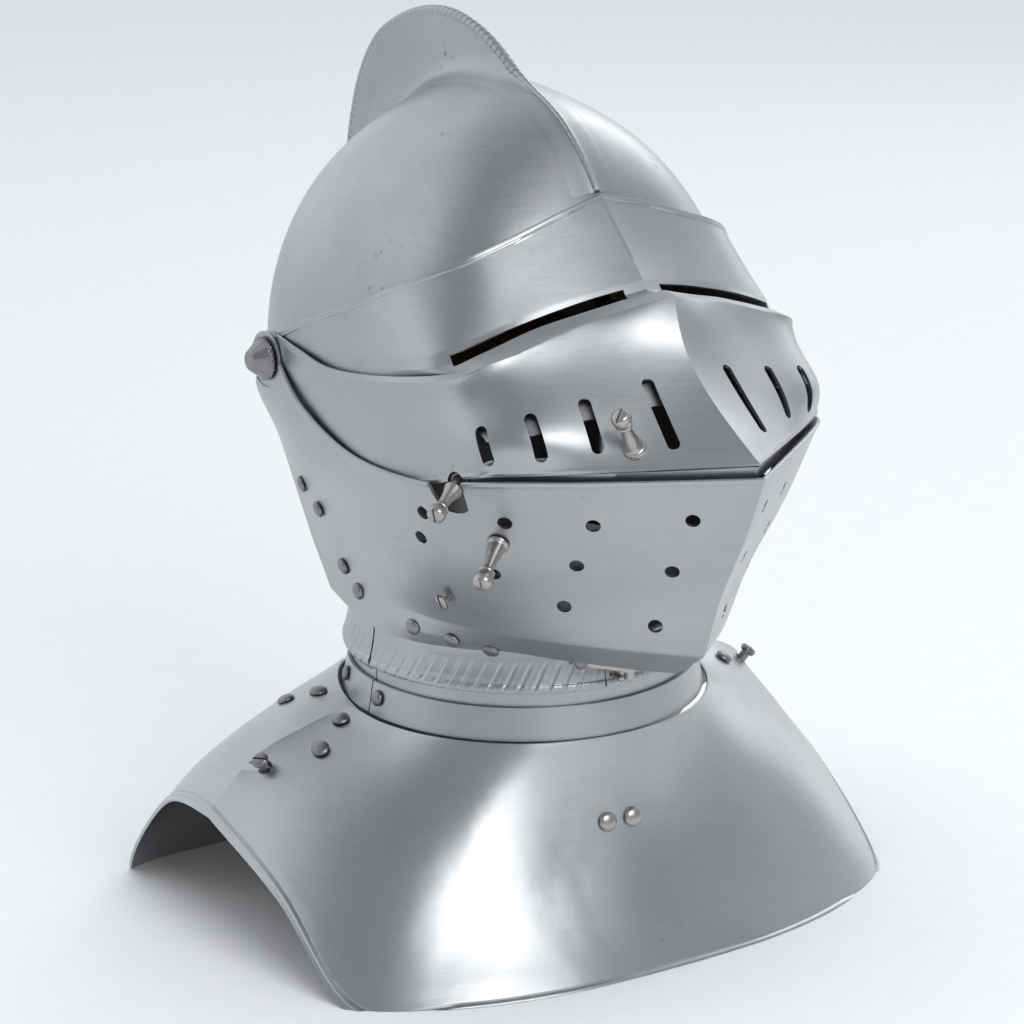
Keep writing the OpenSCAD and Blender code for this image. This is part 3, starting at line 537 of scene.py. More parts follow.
ventail_rails = [
    [[0, -132.6, 331.4], [-24, -121, 323.8], [-47.5, -115.5, 317.4], [-70, -111.5, 310],
     [-86, -106.5, 303.8], [-95.5, -96, 297], [-106, -58, 289], [-109.8, -14, 283.5],
     [-108.4, 20, 285.5], [-106.3, 43, 287.2]],
    [[0, -141, 331], [-22, -129.5, 323.5], [-46, -123, 317], [-70, -118.5, 309],
     [-88.5, -112.5, 302.3], [-99, -99.5, 295], [-107, -58, 286.5], [-110.3, -14, 280.3],
     [-108.7, 20, 282.4], [-106.3, 44, 284.5]],
    [[0, -147, 309], [-26, -141, 305.3], [-55, -132, 299.5], [-82, -124.5, 292.5],
     [-93, -115, 287], [-100, -103, 282.6], [-108, -60, 275], [-110.8, -18, 271.5],
     [-108.7, 18, 276], [-106.3, 44, 277.5]],
    [[0, -171, 287], [-25, -164, 283], [-53, -153, 279], [-79.5, -145, 275],
     [-91, -135, 273], [-100, -122, 269.5], [-108.8, -66, 259.5], [-110.6, -20, 260],
     [-108.5, 18, 269], [-106.3, 44, 270]],
    [[0, -208.5, 266.3], [-25, -187.5, 263], [-50, -166.5, 260], [-78, -143, 257],
     [-90, -132, 256], [-99.5, -120, 253.5], [-108.4, -72, 240], [-109.2, -26, 240.5],
     [-107.5, 18, 254], [-106.3, 44, 261]]]

bevor_rails = [
    [[0, -212.5, 260], [-25, -191.4, 257.8], [-48, -172, 256], [-67, -156, 254.7],
     [-85, -140.7, 253.9], [-100.6, -123, 252], [-110, -92, 247], [-112.3, -36, 246.5],
     [-111.6, 12, 259.5], [-108.6, 42, 279]],
    [[0, -202, 234], [-24, -181.5, 234], [-46, -163, 233], [-65, -146.5, 232],
     [-83, -131, 231], [-97, -112, 230], [-107.5, -82, 228], [-110.5, -32, 229],
     [-110, 18, 240], [-108.4, 60, 260]],
    [[0, -190, 212], [-22, -171, 211.5], [-43, -153, 210], [-62, -136.5, 209],
     [-79, -121, 208], [-91.5, -102, 207], [-100.5, -72, 206], [-103.5, -28, 207],
     [-101.5, 18, 214], [-97.5, 58, 232]],
    [[0, -178, 190], [-20, -160, 189], [-39, -143, 187], [-57, -126, 186],
     [-72, -109.5, 185], [-83.5, -90, 184], [-92, -63, 184], [-96, -26, 185],
     [-95, 14, 189], [-91.8, 49, 202]],
    [[0, -168, 162], [-16, -155, 163], [-32, -141, 164], [-49, -123, 165],
     [-63, -104, 165.5], [-75, -82, 166], [-85, -56, 167], [-90.5, -26, 168],
     [-91, 6, 170], [-89.3, 39, 180]],
    [[0, -148, 148], [-15, -135, 149], [-31, -122, 151], [-48, -106, 153],
     [-62.5, -90, 155], [-75.5, -70.5, 156.5], [-85, -50, 157.5], [-90.3, -24, 159],
     [-90.5, 2, 161], [-88.8, 31, 169]],
    [[0, -104, 151], [-16.5, -102.5, 151], [-33.5, -97.5, 151], [-49.5, -89, 151],
     [-63, -78, 151], [-75, -63, 151], [-83.5, -46, 150.5], [-88.4, -25, 150.5],
     [-89, -2, 152.5], [-88.4, 24, 159]]]


# ------------------------------------------------------------------ plates on the pivots

def pivot_frame(side, x=0.0):
    """Frame on the pivot axis, x out from the middle, with Z outwards."""
    m = np.eye(4)
    m[:3, 0], m[:3, 1], m[:3, 2] = (0, 0, -side), (0, 1, 0), (side, 0, 0)
    m[:3, 3] = (side * x, PIVOT[1], PIVOT[2])
    return m


def pivot_part(r, a, b, side, n=72):
    return lathe([(r, a), (r, b)], pivot_frame(side), n)


def arm_disc(x, side):
    """Round arm end with an eased edge."""
    m = pivot_frame(side)
    r = ARM_R
    return lathe([(PIVOT_BORE, x - PLATE), (r - 0.2, x - PLATE), (r, x - PLATE + 0.3),
                  (r, x - 0.3), (r - 0.3, x + 0.02), (PIVOT_BORE, x + 0.02)], m, 72)


def on_pivot(o, x):
    cut(o, [pivot_part(ARM_R + ARM_CLEAR, 80, x - PLATE, s) for s in (-1, 1)]
        + [pivot_part(ARM_R + ARM_CLEAR, x, 125, s) for s in (-1, 1)]
        + [pivot_part(PIVOT_BORE, x - PLATE - 0.5, x + 0.5, s) for s in (-1, 1)])
    return add(o, [arm_disc(x, s) for s in (-1, 1)])


# visor -------------------------------------------------------------------------------
us = np.concatenate([spread(0, 7, 112), np.linspace(7, 9, 25)])
vs = np.concatenate([spread(0, 0.16, 14), spread(0.16, 1, 22), spread(1, 2, 8),
                     spread(2, 3, 12), np.linspace(3, 4, 6)])
half = surface(visor_rails, us, vs, [(1, 2), (2, 3), (3, 4)])
g = relax(whole(half), 25, 2, 34)
edge = from_edge(g, 0)
raised = 0.45 * step(edge, 0.1, 0.4) * (1 - step(edge, 3.0, 3.3)) - 0.12 * bump(edge, 2.0, 0.5)
visor = sheet("visor_plate", g, PLATE, raised)
sight = surface(visor_rails, np.linspace(0.4, 3.9, 30), [1.0, 2.0])
sight_mid = surface(visor_rails, np.linspace(0.4, 3.9, 30), [1.5])[0]
sight_n = normals(surface(visor_rails, np.linspace(0.4, 3.9, 30), [1.0, 1.5, 2.0]))[1]
down = unit(sight[1] - sight[0])
SIGHT_HALF = 2.9
tool = []
for side in (1, -1):
    top = sight_mid - down * SIGHT_HALF
    low = sight_mid + down * SIGHT_HALF
    ring = np.stack([top + sight_n * 5, low + sight_n * 5, low - sight_n * 5, top - sight_n * 5])
    v = ring.transpose(1, 0, 2).reshape(-1, 3) * np.array([side, 1, 1])
    k = len(sight_mid)
    f = [(4 * i + a, 4 * i + (a + 1) % 4, 4 * i + 4 + (a + 1) % 4, 4 * i + 4 + a)
         for i in range(k - 1) for a in range(4)] + [(0, 1, 2, 3),
                                                     tuple(4 * (k - 1) + a for a in range(4))]
    tool.append((v, f))
cut(visor, tool)
on_pivot(visor, VISOR_X)
finish_piece(visor, "visor", ["visor"], PLATE_STEEL)

# ventail -----------------------------------------------------------------------------
us = np.concatenate([spread(0, 7, 112), np.linspace(7, 9, 25)])
vs = np.concatenate([spread(0, 1, 6), spread(1, 1.12, 4), spread(1.12, 3.85, 56),
                     np.linspace(3.85, 4, 7)])
half = surface(ventail_rails, us, vs, [(0, 1)])
g = relax(whole(half), 90, 7, len(vs) - 3)
low_edge = from_edge(g, len(vs) - 1)
raised = 0.25 * bump(low_edge, 1.6, 1.3)
ventail = sheet("ventail_plate", g, PLATE, raised)
slots = [
    [[-22.5, -152.5, 294], [-25, -176.5, 272], [-0.33, -0.65, 0.7]],
    [[-52.5, -145, 287.5], [-54, -158, 270.5], [-0.45, -0.72, 0.55]],
    [[-77.5, -138.5, 282.5], [-77, -146.5, 267.5], [-0.42, -0.85, 0.3]],
    [[-96, -125, 276], [-96, -130.5, 264.5], [-0.75, -0.62, 0.2]]]
tool = []
for a, b, n in slots:
    a, b = np.array(a, float), np.array(b, float)
    part = slot_part(frame_at(a, n, b - a), np.linalg.norm(b - a), 6.0)
    tool += [part, mirrored(part)]
peg_place, peg_axis = np.array([-40.2, -167.4, 269.8]), np.array([-0.54, -0.3, 0.78])
lock_place, lock_axis = np.array([-101.3, -113, 249.0]), np.array([-0.8, -0.46, -0.38])
tool.append(drill(3.3, 14, peg_place, peg_axis))
tool.append(drill(5.6, 15, lock_place, lock_axis, 40))
cut(ventail, tool)
on_pivot(ventail, VENTAIL_X)
finish_piece(ventail, "ventail", ["ventail"], PLATE_STEEL)

# the band inside the ventail's lower edge
held = whole(surface(ventail_rails, np.linspace(0, 5, 70), [3.6, 3.8, 4]))
held = held - normals(held) * (PLATE + 0.5)
hang = held[-1] + unit(np.stack([-held[-1][:, 0], PIVOT[1] - held[-1][:, 1],
                                 held[-1][:, 2] * 0], axis=1)) * 1.5 - np.array([0, 0, 7.0])
strip = sheet("ventail_band", np.concatenate([held, [(held[-1] + hang) / 2], [hang]]), 1.2)
cut(strip, [drill(2.7, 16, lock_place, lock_axis),
            drill(3.3, 14, peg_place, peg_axis)])
finish_piece(strip, "ventail", ["ventail_strip"], PLATE_STEEL)

# stiffening band behind the slots
held = whole(surface(ventail_rails, np.linspace(0, 4.6, 64), [2.42, 2.6, 2.78]))
held = held - normals(held) * (PLATE + 4.0)
o = sheet("slot_band", held, 1.2)
clean(o)
o.data.materials.append(PLATE_STEEL)
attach(o, "ventail")

# bevor -------------------------------------------------------------------------------
us = np.linspace(0, 9, 145)
vs = np.concatenate([spread(0, 0.12, 6), spread(0.12, 3.9, 60), spread(3.9, 4, 3),
                     spread(4, 5, 9), np.linspace(5, 6, 10)])
half = surface(bevor_rails, us, vs, [(4, 5), (5, 6)])
g = relax(whole(half), 60, 2, 69)
top_edge = from_edge(g, 0)
raised = 0.3 * bump(top_edge, 1.5, 1.3)
bevor = sheet("bevor_plate", g, PLATE, raised)
holes = [[-20.5, -186, 237], [-20.5, -170.5, 208.5], [-20, -157, 178], [-54.5, -155.5, 232.5],
         [-55, -143, 210], [-53, -130, 186.5], [-85.5, -129, 232], [-81.5, -113.5, 202.5],
         [-106, -90.5, 230.5], [-102.5, -83, 216]]
tool = []
for p in holes:
    axis = [-0.93, -0.22, -0.3] if p[0] < -100 else [-0.62, -0.68, -0.38]
    part = drill(3.5, 12, p, axis)
    tool += [part, mirrored(part)]
notch = [[-100, 244], [-102.5, 237], [-106, 235], [-110.5, 234.5], [-114, 235.2],
         [-116.5, 237], [-118.6, 252], [-120.5, 275], [-95, 275]]
tool.append(across(notch, -150, -90))
bevor_peg, bevor_peg_axis = np.array([-85, -122.5, 220.5]), np.array([-0.69, -0.56, -0.45])
catch_place, catch_axis = np.array([-86.2, -80, 182.0]), np.array([-0.82, -0.3, -0.48])
tool.append(drill(3.3, 12, bevor_peg, bevor_peg_axis))
tool.append(drill(1.6, 12, catch_place, catch_axis, 24))
cut(bevor, tool)
on_pivot(bevor, BEVOR_X)
finish_piece(bevor, "bevor", ["bevor"], PLATE_STEEL)

# gorget ------------------------------------------------------------------------------
STUD = [145.0, -6.0, 86.5]


def stud_frame(side):
    return frame_at([side * STUD[0], STUD[1], STUD[2]], [side * 0.58, -0.25, 0.78],
                    [side * -0.6, -0.8, 0])


def trimmed(o, z=0.0):
    b = bmesh.new()
    b.from_mesh(o.data)
    r = bmesh.ops.bisect_plane(b, geom=b.verts[:] + b.edges[:] + b.faces[:], dist=1e-7,
                               plane_co=(0, 0, z / 1000.0), plane_no=(0, 0, -1),
                               clear_outer=True)
    rim = [e for e in r["geom_cut"] if isinstance(e, bmesh.types.BMEdge)]
    bmesh.ops.holes_fill(b, edges=rim, sides=0)
    bmesh.ops.recalc_face_normals(b, faces=b.faces)
    b.to_mesh(o.data)
    b.free()
    return o


def turned(s, size=0.55):
    """A filed bead just inside an edge, at the distance s from it."""
    return size * bump(s, 1.6, 1.5) - 0.4 * bump(s, 3.6, 0.8)


us = np.concatenate([spread(0, 4.9, 96), np.linspace(4.9, 5, 8)])
vs = np.concatenate([spread(0, 0.05, 4), spread(0.05, 2.8, 60), np.linspace(2.8, 3, 26)])
g = whole(surface(front_rails, us, vs))
g = ease_middle(relax(g, 120, 3, 62), 60, 80)
bottom = from_edge(g, len(vs) - 1)
front = sheet("gorget_front", g, GORGET_PLATE, turned(np.maximum(bottom - 2.4, 0)))
tool = []
for side in (1, -1):
    m = stud_frame(side)
    tool.append(lathe([(3.7, -8), (3.7, 8)], m, 36))
    shifted = m.copy()
    shifted[:3, 3] = m[:3, 3] - m[:3, 0] * 11
    tool.append(slot_part(shifted, 11, 4.0, 8))
    cut(front, tool)
    tool = []
trimmed(front)
finish_piece(front, "gorget", ["gorget_front_plate"], GORGET_STEEL)

half = surface(back_rails, np.linspace(0, 5, 100), vs)
g = np.concatenate([half, half[:, -2::-1] * np.array([-1.0, 1, 1])], axis=1)
bottom = from_edge(g, len(vs) - 1)
back = sheet("gorget_back", g, GORGET_PLATE, turned(np.maximum(bottom - 2.4, 0)))
cut(back, [lathe([(2.6, -10), (2.6, 10)], stud_frame(s), 32) for s in (1, -1)])
trimmed(back)
finish_piece(back, "gorget", ["gorget_back_plate"], GORGET_STEEL)

# skull -------------------------------------------------------------------------------
HALF_W, FRONT, BACK, RISE, SKULL_Y, SKULL_Z, KEEL = 104.0, 110.0, 140.0, 134.0, 1.3, 270.0, 6.0
LOWER = [(245, 103, 0, 136), (220, 100, -4, 124), (195, 95, -9, 109), (175, 91, -13, 97),
         (156, 88.6, NECK_Y, 88.6)]


def spower(v, p):
    return np.sign(v) * np.abs(v) ** p


def section(a, half_width, middle, ahead, behind, z):
    a = np.radians(a)
    c, s = np.cos(a), np.sin(a)
    p = np.where(c >= 0, 2 / 2.7, 2 / 2.2)
    return np.stack([-half_width * spower(s, p),
                     middle - np.where(c >= 0, ahead, behind) * spower(c, p),
                     np.full_like(a, z)], axis=-1)


def keeled(p):
    p = np.array(p, float)
    p[..., 2] += (KEEL * np.exp(-(p[..., 0] / 24) ** 2)
                  * np.clip((p[..., 2] - 330) / 60, 0, 1))
    return p


def dome_row(a, tilt, grow):
    t = math.radians(tilt)
    return keeled(section(a, (HALF_W + grow) * math.cos(t), SKULL_Y, (FRONT + grow) * math.cos(t),
                          (BACK + grow) * math.cos(t), SKULL_Z + (RISE + grow) * math.sin(t)))


def lower_row(a, s, grow):
    return section(a, s[1] + grow, s[2], s[1] + grow, s[3] + grow, s[0])


def even_angles(n):
    """Angles whose section points lie evenly round the skull."""
    a = np.linspace(0, 360, 7201)
    p = section(a, HALF_W, SKULL_Y, FRONT, BACK, 0)
    s = np.concatenate([[0], np.cumsum(np.linalg.norm(np.diff(p, axis=0), axis=1))])
    return np.interp(np.linspace(0, s[-1], n, endpoint=False), s, a)


def skull_surface(angles, grow=0.0, lowest=5.0):
    rows = [dome_row(angles, t, grow) for t in np.linspace(88.5, 2, 54)]
    ends = np.array([dome_row(angles, 2, grow)] + [lower_row(angles, s, grow) for s in LOWER])
    rows += list(curve(ends, np.linspace(0, lowest, int(9 * lowest))[1:]))
    return np.array(rows)


def bowl(name, outer, inner, top, low):
    """A shell between two grids that run all the way round, closed at the top."""
    rows, cols = outer.shape[:2]
    verts = np.concatenate([outer.reshape(-1, 3), inner.reshape(-1, 3), [top], [low]])
    k = rows * cols
    faces = grid_faces(rows, cols, 0, True) + grid_faces(rows, cols, k, True)
    m = k - cols
    for i in range(cols):
        j = (i + 1) % cols
        faces += [(m + i, m + j, k + m + j, k + m + i), (2 * k, i, j), (2 * k + 1, k + j, k + i)]
    return make(name, verts, faces)


opening = [[-200, 352], [-128, 352], [-100, 346], [-70, 332], [-30, 310], [5, 296],
           [26, 283], [38, 262], [46, 240], [48, 222], [42, 197], [30, 175], [14, 159],
           [14, 100], [-200, 100]]


rim = curve(np.array(opening[1:14], float), np.linspace(0, 12, 61)).tolist()
face_cut = [opening[0]] + rim + [opening[14]]
angles = even_angles(200)
g = skull_surface(angles)
crown = g[0].mean(axis=0) + np.array([0, 0, 0.05])
skull = bowl("skull_bowl", g, g - normals(g, True) * PLATE, crown, crown - np.array([0, 0, PLATE]))
cut(skull, [across(face_cut)] + [pivot_part(8.05, 80, 120, s) for s in (-1, 1)])
finish_piece(skull, "skull", ["skull"], SKULL_STEEL)

# comb --------------------------------------------------------------------------------
comb_edge = np.array([[-76, 365.5], [-65, 375.5], [-52, 388.5], [-34.6, 402.5], [-12, 414.5],
                      [14.6, 429.5], [44, 437], [72, 435.7], [99.4, 426.8], [121.8, 412.6],
                      [138.5, 388], [149, 353.6], [150.5, 325], [147, 298], [142.6, 272]])


def comb_frame(e):
    way = unit([0, e[0] - SKULL_Y, e[1] - SKULL_Z])
    d = np.array([e[0] - SKULL_Y, e[1] - SKULL_Z])
    k = 1 / np.linalg.norm([d[0] / (FRONT if d[0] < 0 else BACK), d[1] / RISE])
    p = np.array([0, SKULL_Y + d[0] * k, SKULL_Z + d[1] * k])
    root = p + way * way[2] * (keeled(p)[2] - p[2])
    h = max(float((np.array([0, e[0], e[1]]) - root) @ way), 1.0)
    return root, way, h


def skull_depth(root, way, x):
    """How far along way the skull's surface lies at each offset x from the middle."""
    lift = KEEL * np.exp(-(x / 24) ** 2)
    low, high = np.full(len(x), -20.0), np.full(len(x), 6.0)
    for _ in range(26):
        s = (low + high) / 2
        y = root[1] + way[1] * s - SKULL_Y
        z = root[2] + way[2] * s
        flat = np.where(z < 330, z, (z + lift * 5.5) / (1 + lift / 60))
        flat = np.where(z - lift > 390, z - lift, flat)
        p = np.where(y < 0, 2.7, 2.2)
        wide = np.abs(x / HALF_W) ** p + np.abs(y / np.where(y < 0, FRONT, BACK)) ** p
        out = wide ** (2 / p) + ((flat - SKULL_Z) / RISE) ** 2 > 1
        high = np.where(out, s, high)
        low = np.where(out, low, s)
    return (low + high) / 2


FOOT_X = np.array([17.0, 13.0, 9.5, 6.6, 4.4, 2.9, 2.0, 1.55])
FOOT_Z = np.array([-0.5, 0.1, 0.6, 1.5, 3.0, 5.0, 7.6, 10.5])
COMB_PITCH, STRAND_RUN = 0.62, 4.3
path = curve(comb_edge, np.linspace(0, len(comb_edge) - 1, 1700))
run = np.concatenate([[0], np.cumsum(np.linalg.norm(np.diff(path, axis=0), axis=1))])
stations = np.interp(np.arange(0, run[-1], COMB_PITCH), run, np.arange(len(run)))
head_angles = np.radians(np.linspace(-52, 232, 21))
rings = []
for sidx in stations:
    e = curve(path, [sidx])[0]
    root, up, h = comb_frame(e)
    s = float(np.interp(sidx, np.arange(len(run)), run))
    fade = float(step(h, 1.5, 9))
    tall = min(1.0, h / 14.0)
    rise = skull_depth(root, up, FOOT_X) + np.where(FOOT_Z > 0, FOOT_Z * tall, FOOT_Z)
    foot = list(zip(FOOT_X.tolist(), rise.tolist()))
    r0 = 1.5 + 1.25 * fade
    centre = max(h - r0, 0.2 + foot[-1][1] * 0.9)
    neck = max(foot[-1][1], centre - 2.6)
    half_ring_pts = foot + [(1.45, neck)]
    pts = list(half_ring_pts)
    for a in head_angles:
        # strands run obliquely over the edge
        x = (a / (2 * np.pi)) * 2.2 - s / STRAND_RUN
        groove = np.exp(-(((x % 1.0) - 0.5) / 0.15) ** 2)
        away = float(step(abs(a - np.pi / 2), 2.45, 2.0))
        r = r0 * (1 - 0.26 * groove * (0.35 + 0.65 * fade) * away)
        pts.append((r * np.cos(a), centre + r * np.sin(a)))
    pts += [(-x, z) for x, z in reversed(half_ring_pts)]
    rings.append([root + up * z + np.array([x, 0, 0]) for x, z in pts])
comb = make("comb_roped", *stacked(rings))
finish_piece(comb, "skull", ["comb"], SKULL_STEEL, 50)

# neck plates with the roped rim --------------------------------------------------------
RING_R, RING_Z = 86.0, 131.5
RIM_OUT, RIM_IN = 4.5, 2.7


def neck_ring(name, a0, a1, end_low):
    """Wall and hollow rim of a neck plate between two angles, 0 at the front; end_low is how
    far the rim's outer skin reaches round, in degrees below the level of the bead."""
    n = int((a1 - a0) * 2.4)
    wall = [(86.6, 163), (86.75, 156), (86.9, 150)]
    skin = [(87.1, 147), (87.5, 144.4), (87.9, 141.8), (88.4, 139.2), (89.0, 136.9)]
    skin += [(RING_R + RIM_OUT * math.cos(t), RING_Z + RIM_OUT * math.sin(t))
             for t in np.radians(np.linspace(40, -end_low, 7))]
    skin = curve(np.array(skin), np.linspace(0, len(skin) - 1, 44))
    s = np.concatenate([[0], np.cumsum(np.linalg.norm(np.diff(skin, axis=0), axis=1))])
    away = unit(np.gradient(skin, axis=0)) @ np.array([[0, 1.0], [-1.0, 0]])
    away = np.where((away[:, :1] < 0), -away, away)
    strength = step(s, 1.0, 5.0)
    in_arc = np.radians(np.linspace(-end_low, 150, 20))
    rings = []
    for a in np.linspace(a0, a1, n):
        x = s / 15.0 - a / 4.6
        groove = np.exp(-(((x % 1.0) - 0.5) / 0.13) ** 2)
        swell = 0.28 * np.cos(2 * np.pi * x) * -1
        depth = strength * (0.62 * groove - 0.35 * swell)
        pts = wall + [tuple(p) for p in skin - away * depth[:, None]]
        for t in in_arc:
            pts.append((RING_R + RIM_IN * math.cos(t), RING_Z + RIM_IN * math.sin(t)))
        pts += [(82.4, 132.3), (82.2, 134), (83.6, 135.6), (85.3, 136.2), (86.0, 138.5),
                (86.2, 141), (85.7, 145.5), (85.3, 150), (85.2, 156), (85.2, 163)]
        rings.append([ring_point(r, a, z) for r, z in pts])
    return make(name, *stacked(rings))


nape = neck_ring("nape_ring", 90.4, 269.6, 62)
finish_piece(nape, "skull", ["nape_plate"], PLATE_STEEL, 50)
lame_r = neck_ring("neck_ring_right", 7.15, 89.6, 22)
finish_piece(lame_r, "bevor", ["neck_lame_right"], PLATE_STEEL, 50)
lame_l = neck_ring("neck_ring_left", 270.4, 366.85, 22)
finish_piece(lame_l, "bevor", ["neck_lame_left"], PLATE_STEEL, 50)

# rivets ------------------------------------------------------------------------------
rng = np.random.default_rng(7)


def rivet_part(p, n, head, shank=1.5, depth=3.0):
    rise = head * 0.55 * rng.uniform(0.92, 1.08)
    flat = rng.uniform(0.0, 0.25)
    prof = [(shank, -depth), (shank, -0.05), (head * 0.93, -0.05), (head, 0.25)]
    for t in np.linspace(12, 88, 9):
        a = math.radians(t)
        prof.append((head * math.cos(a), 0.25 + (rise - 0.25) * math.sin(a) ** (1 - flat * 0.5)))
    prof.append((0.25, rise))
    squash = rng.uniform(-0.035, 0.035)
    turn = rng.uniform(0, 3.14)
    return lathe(prof, frame_at(p, n), 36,
                 lambda r, z, a: r * (1 + squash * np.cos(2 * (a - turn))))


def rail_frame(rails, u, v):
    s = 0.02
    p = surface(rails, [u], [v])[0, 0]
    beside = surface(rails, [u - s], [v])[0, 0]
    above = surface(rails, [u], [v - s])[0, 0]
    return p, unit(np.cross(p - beside, p - above))


parts = []
for side in (1, -1):
    for rails, places in ((front_rails, ((4.75, 0.45), (4.5, 1.15))),
                          (back_rails, ((1.1, 0.35), (1.25, 0.85)))):
        for u, v in places:
            p, n = rail_frame(rails, u, v)
            part = rivet_part(p + n * 0.25, n, 4.6, 1.0, 1.0)
            parts.append(part if side == 1 else mirrored(part))
    for a in (86, 112):
        n = ring_point(1, a, 0.2) - np.array([0, NECK_Y, 0])
        part = rivet_part(ring_point(89.6, a, 115), n, 4.0, 1.0, 1.0)
        parts.append(part if side == 1 else mirrored(part))
o = joined("rivets_gorget", parts)
finish_piece(o, "gorget", ["gorget_rivets"], DARK_STEEL, 60)

n = np.array([-0.1, -0.96, 0.26])
parts = [rivet_part(np.array(p) + 0.3 * n, n, 4.8, 2.5, 4) for p in
         ([-16, -113.4, 65], [-2, -114.7, 65])]
o = joined("rivets_breast", parts)
finish_piece(o, "gorget", ["breast_rivets"], BRIGHT_STEEL, 60)

bevor_rivets = [
    [[-64, -84.5, 153.5], [-0.62, -0.42, -0.66]], [[-76.3, -69, 156.4], [-0.78, -0.4, -0.48]],
    [[-85.5, -48.6, 159], [-0.95, -0.26, -0.14]], [[-91, -7.5, 166.6], [-0.99, 0, -0.11]],
    [[-92.7, 3.7, 176.7], [-0.96, 0.06, -0.26]], [[-98.8, 16.5, 203.7], [-0.96, 0.12, -0.27]],
    [[-97.5, 34.6, 211.7], [-0.94, 0.22, -0.25]]]
parts = []
for p, n in bevor_rivets:
    part = rivet_part(np.array(p) + 0.15 * np.array(n), n, 4.2, 1.5, 3.3)
    parts += [part, mirrored(part)]
o = joined("rivets_bevor", parts)
finish_piece(o, "bevor", ["bevor_rivets"], DARK_STEEL, 60)

parts = []
for a in (122, 141, 160, 200, 219, 238):
    def at(angle, z):
        f = (z - LOWER[4][0]) / (LOWER[3][0] - LOWER[4][0])
        q = np.array([angle], float)
        return ((1 - f) * lower_row(q, LOWER[4], 0) + f * lower_row(q, LOWER[3], 0))[0]
    n = np.cross(at(a, 161) - at(a, 159), at(a + 4, 160) - at(a - 4, 160))
    parts.append(rivet_part(at(a, 160) + 0.3 * unit(n), n, 3.6, 1.5, 4.5))
o = joined("rivets_nape", parts)
finish_piece(o, "skull", ["nape_rivets"], DARK_STEEL, 60)


# pegs, pin, studs ----------------------------------------------------------------------
def smooth_profile(points, n):
    return curve(np.array(points, float), np.linspace(0, len(points) - 1, n))


def spool_parts(p, axis, length, normal=None):
    m = frame_at(p, axis)
    body = [(3.1, -3.0), (3.1, 0.4)]
    body += smooth_profile([(5.4, 0.5), (5.2, 1.4), (4.3, 2.6), (3.7, length * 0.26),
                            (3.0, length * 0.42), (2.55, length * 0.6), (3.1, length * 0.655),
                            (4.0, length * 0.68), (3.7, length * 0.72), (4.1, length * 0.76),
                            (4.6, length * 0.83), (4.6, length * 0.91), (4.0, length * 0.97),
                            (2.9, length)], 66).tolist()
    out = [lathe(body, m, 44)]
    if normal is not None:
        w = frame_at(np.array(p) + 0.5 * unit(normal), normal)
        out.append(lathe([(3.4, 0), (4.9, 0), (5.3, 0.35), (5.3, 1.0), (4.9, 1.5), (3.4, 1.6)],
                         w, 40))
    return out, m


def slotted(name, parts, m, top, width=1.0):
    o = joined(name, parts)
    cut(o, [box_part(m, (-7, -width / 2, top - 1.3), (7, width / 2, top + 2))])
    return o


parts, m = spool_parts(peg_place, peg_axis, 26, [-0.44, -0.7, 0.56])
finish_piece(slotted("peg_ventail", parts, m, 26), "ventail", ["ventail_peg"],
             BRIGHT_STEEL, 40)
parts, m = spool_parts(bevor_peg, bevor_peg_axis, 28, [-0.69, -0.61, -0.39])
finish_piece(slotted("peg_bevor", parts, m, 28), "bevor", ["bevor_peg"],
             BRIGHT_STEEL, 40)

m = frame_at(lock_place, lock_axis)
pin = [lathe([(2.6, -15), (2.6, 3.2)], m, 32), lathe([(2.6, -15), (5, -15), (5, -13.5),
                                                     (2.6, -13.5)], m, 36)]
pin.append(lathe([(2.2, 3)] + smooth_profile([(4.2, 3.0), (4.5, 3.6), (4.3, 4.6), (3.3, 8.5),
                                              (2.7, 12.5), (2.6, 15.6), (3.9, 17.2), (3.6, 18.2),
                                              (4.2, 19.4), (4.5, 21.6), (4.0, 23.3),
                                              (2.9, 24)], 50).tolist(), m, 44))
finish_piece(slotted("pin_locking", pin, m, 24), "locking_pin", ["locking_pin"],
             BRIGHT_STEEL, 40)

# spring wire inside
turns, wire = 4.5, 0.55
t = np.linspace(0, turns * 2 * np.pi, 180)
mid = np.stack([3.75 * np.cos(t), 3.75 * np.sin(t), -9.1 + 6.0 * t / t[-1]], axis=1)
tangent = unit(np.gradient(mid, axis=0))
side_v = unit(np.cross(tangent, [0, 0, 1.0]))
up_v = np.cross(side_v, tangent)
q = np.linspace(0, 2 * np.pi, 10, endpoint=False)
tube = mid[:, None] + wire * (np.cos(q)[None, :, None] * side_v[:, None]
                              + np.sin(q)[None, :, None] * up_v[:, None])
verts, faces = stacked(tube)
o = make("spring_wire", put(m, verts), faces)
finish_piece(o, "ventail", ["locking_spring"], DARK_STEEL, 60)

for side, node in ((-1, "shoulder_stud_right"), (1, "shoulder_stud_left")):
    m = stud_frame(side)
    parts = [lathe([(2.5, -7), (2.5, 3.6)], m, 32),
             lathe([(2.5, -8.5), (4.7, -8.5), (5, -8.1), (5, -6.9), (4.7, -6.5), (2.5, -6.5)],
                   m, 36),
             lathe([(1.5, 3.2), (3.5, 3.2), (3.9, 3.8), (4.3, 5.0), (4.2, 5.6), (3.4, 6.5),
                    (2.2, 6.75)], m, 36)]
    o = slotted("stud_" + ("right" if side < 0 else "left"), parts, m, 6.75, 1.1)
    finish_piece(o, "gorget", [node], DARK_STEEL, 40)

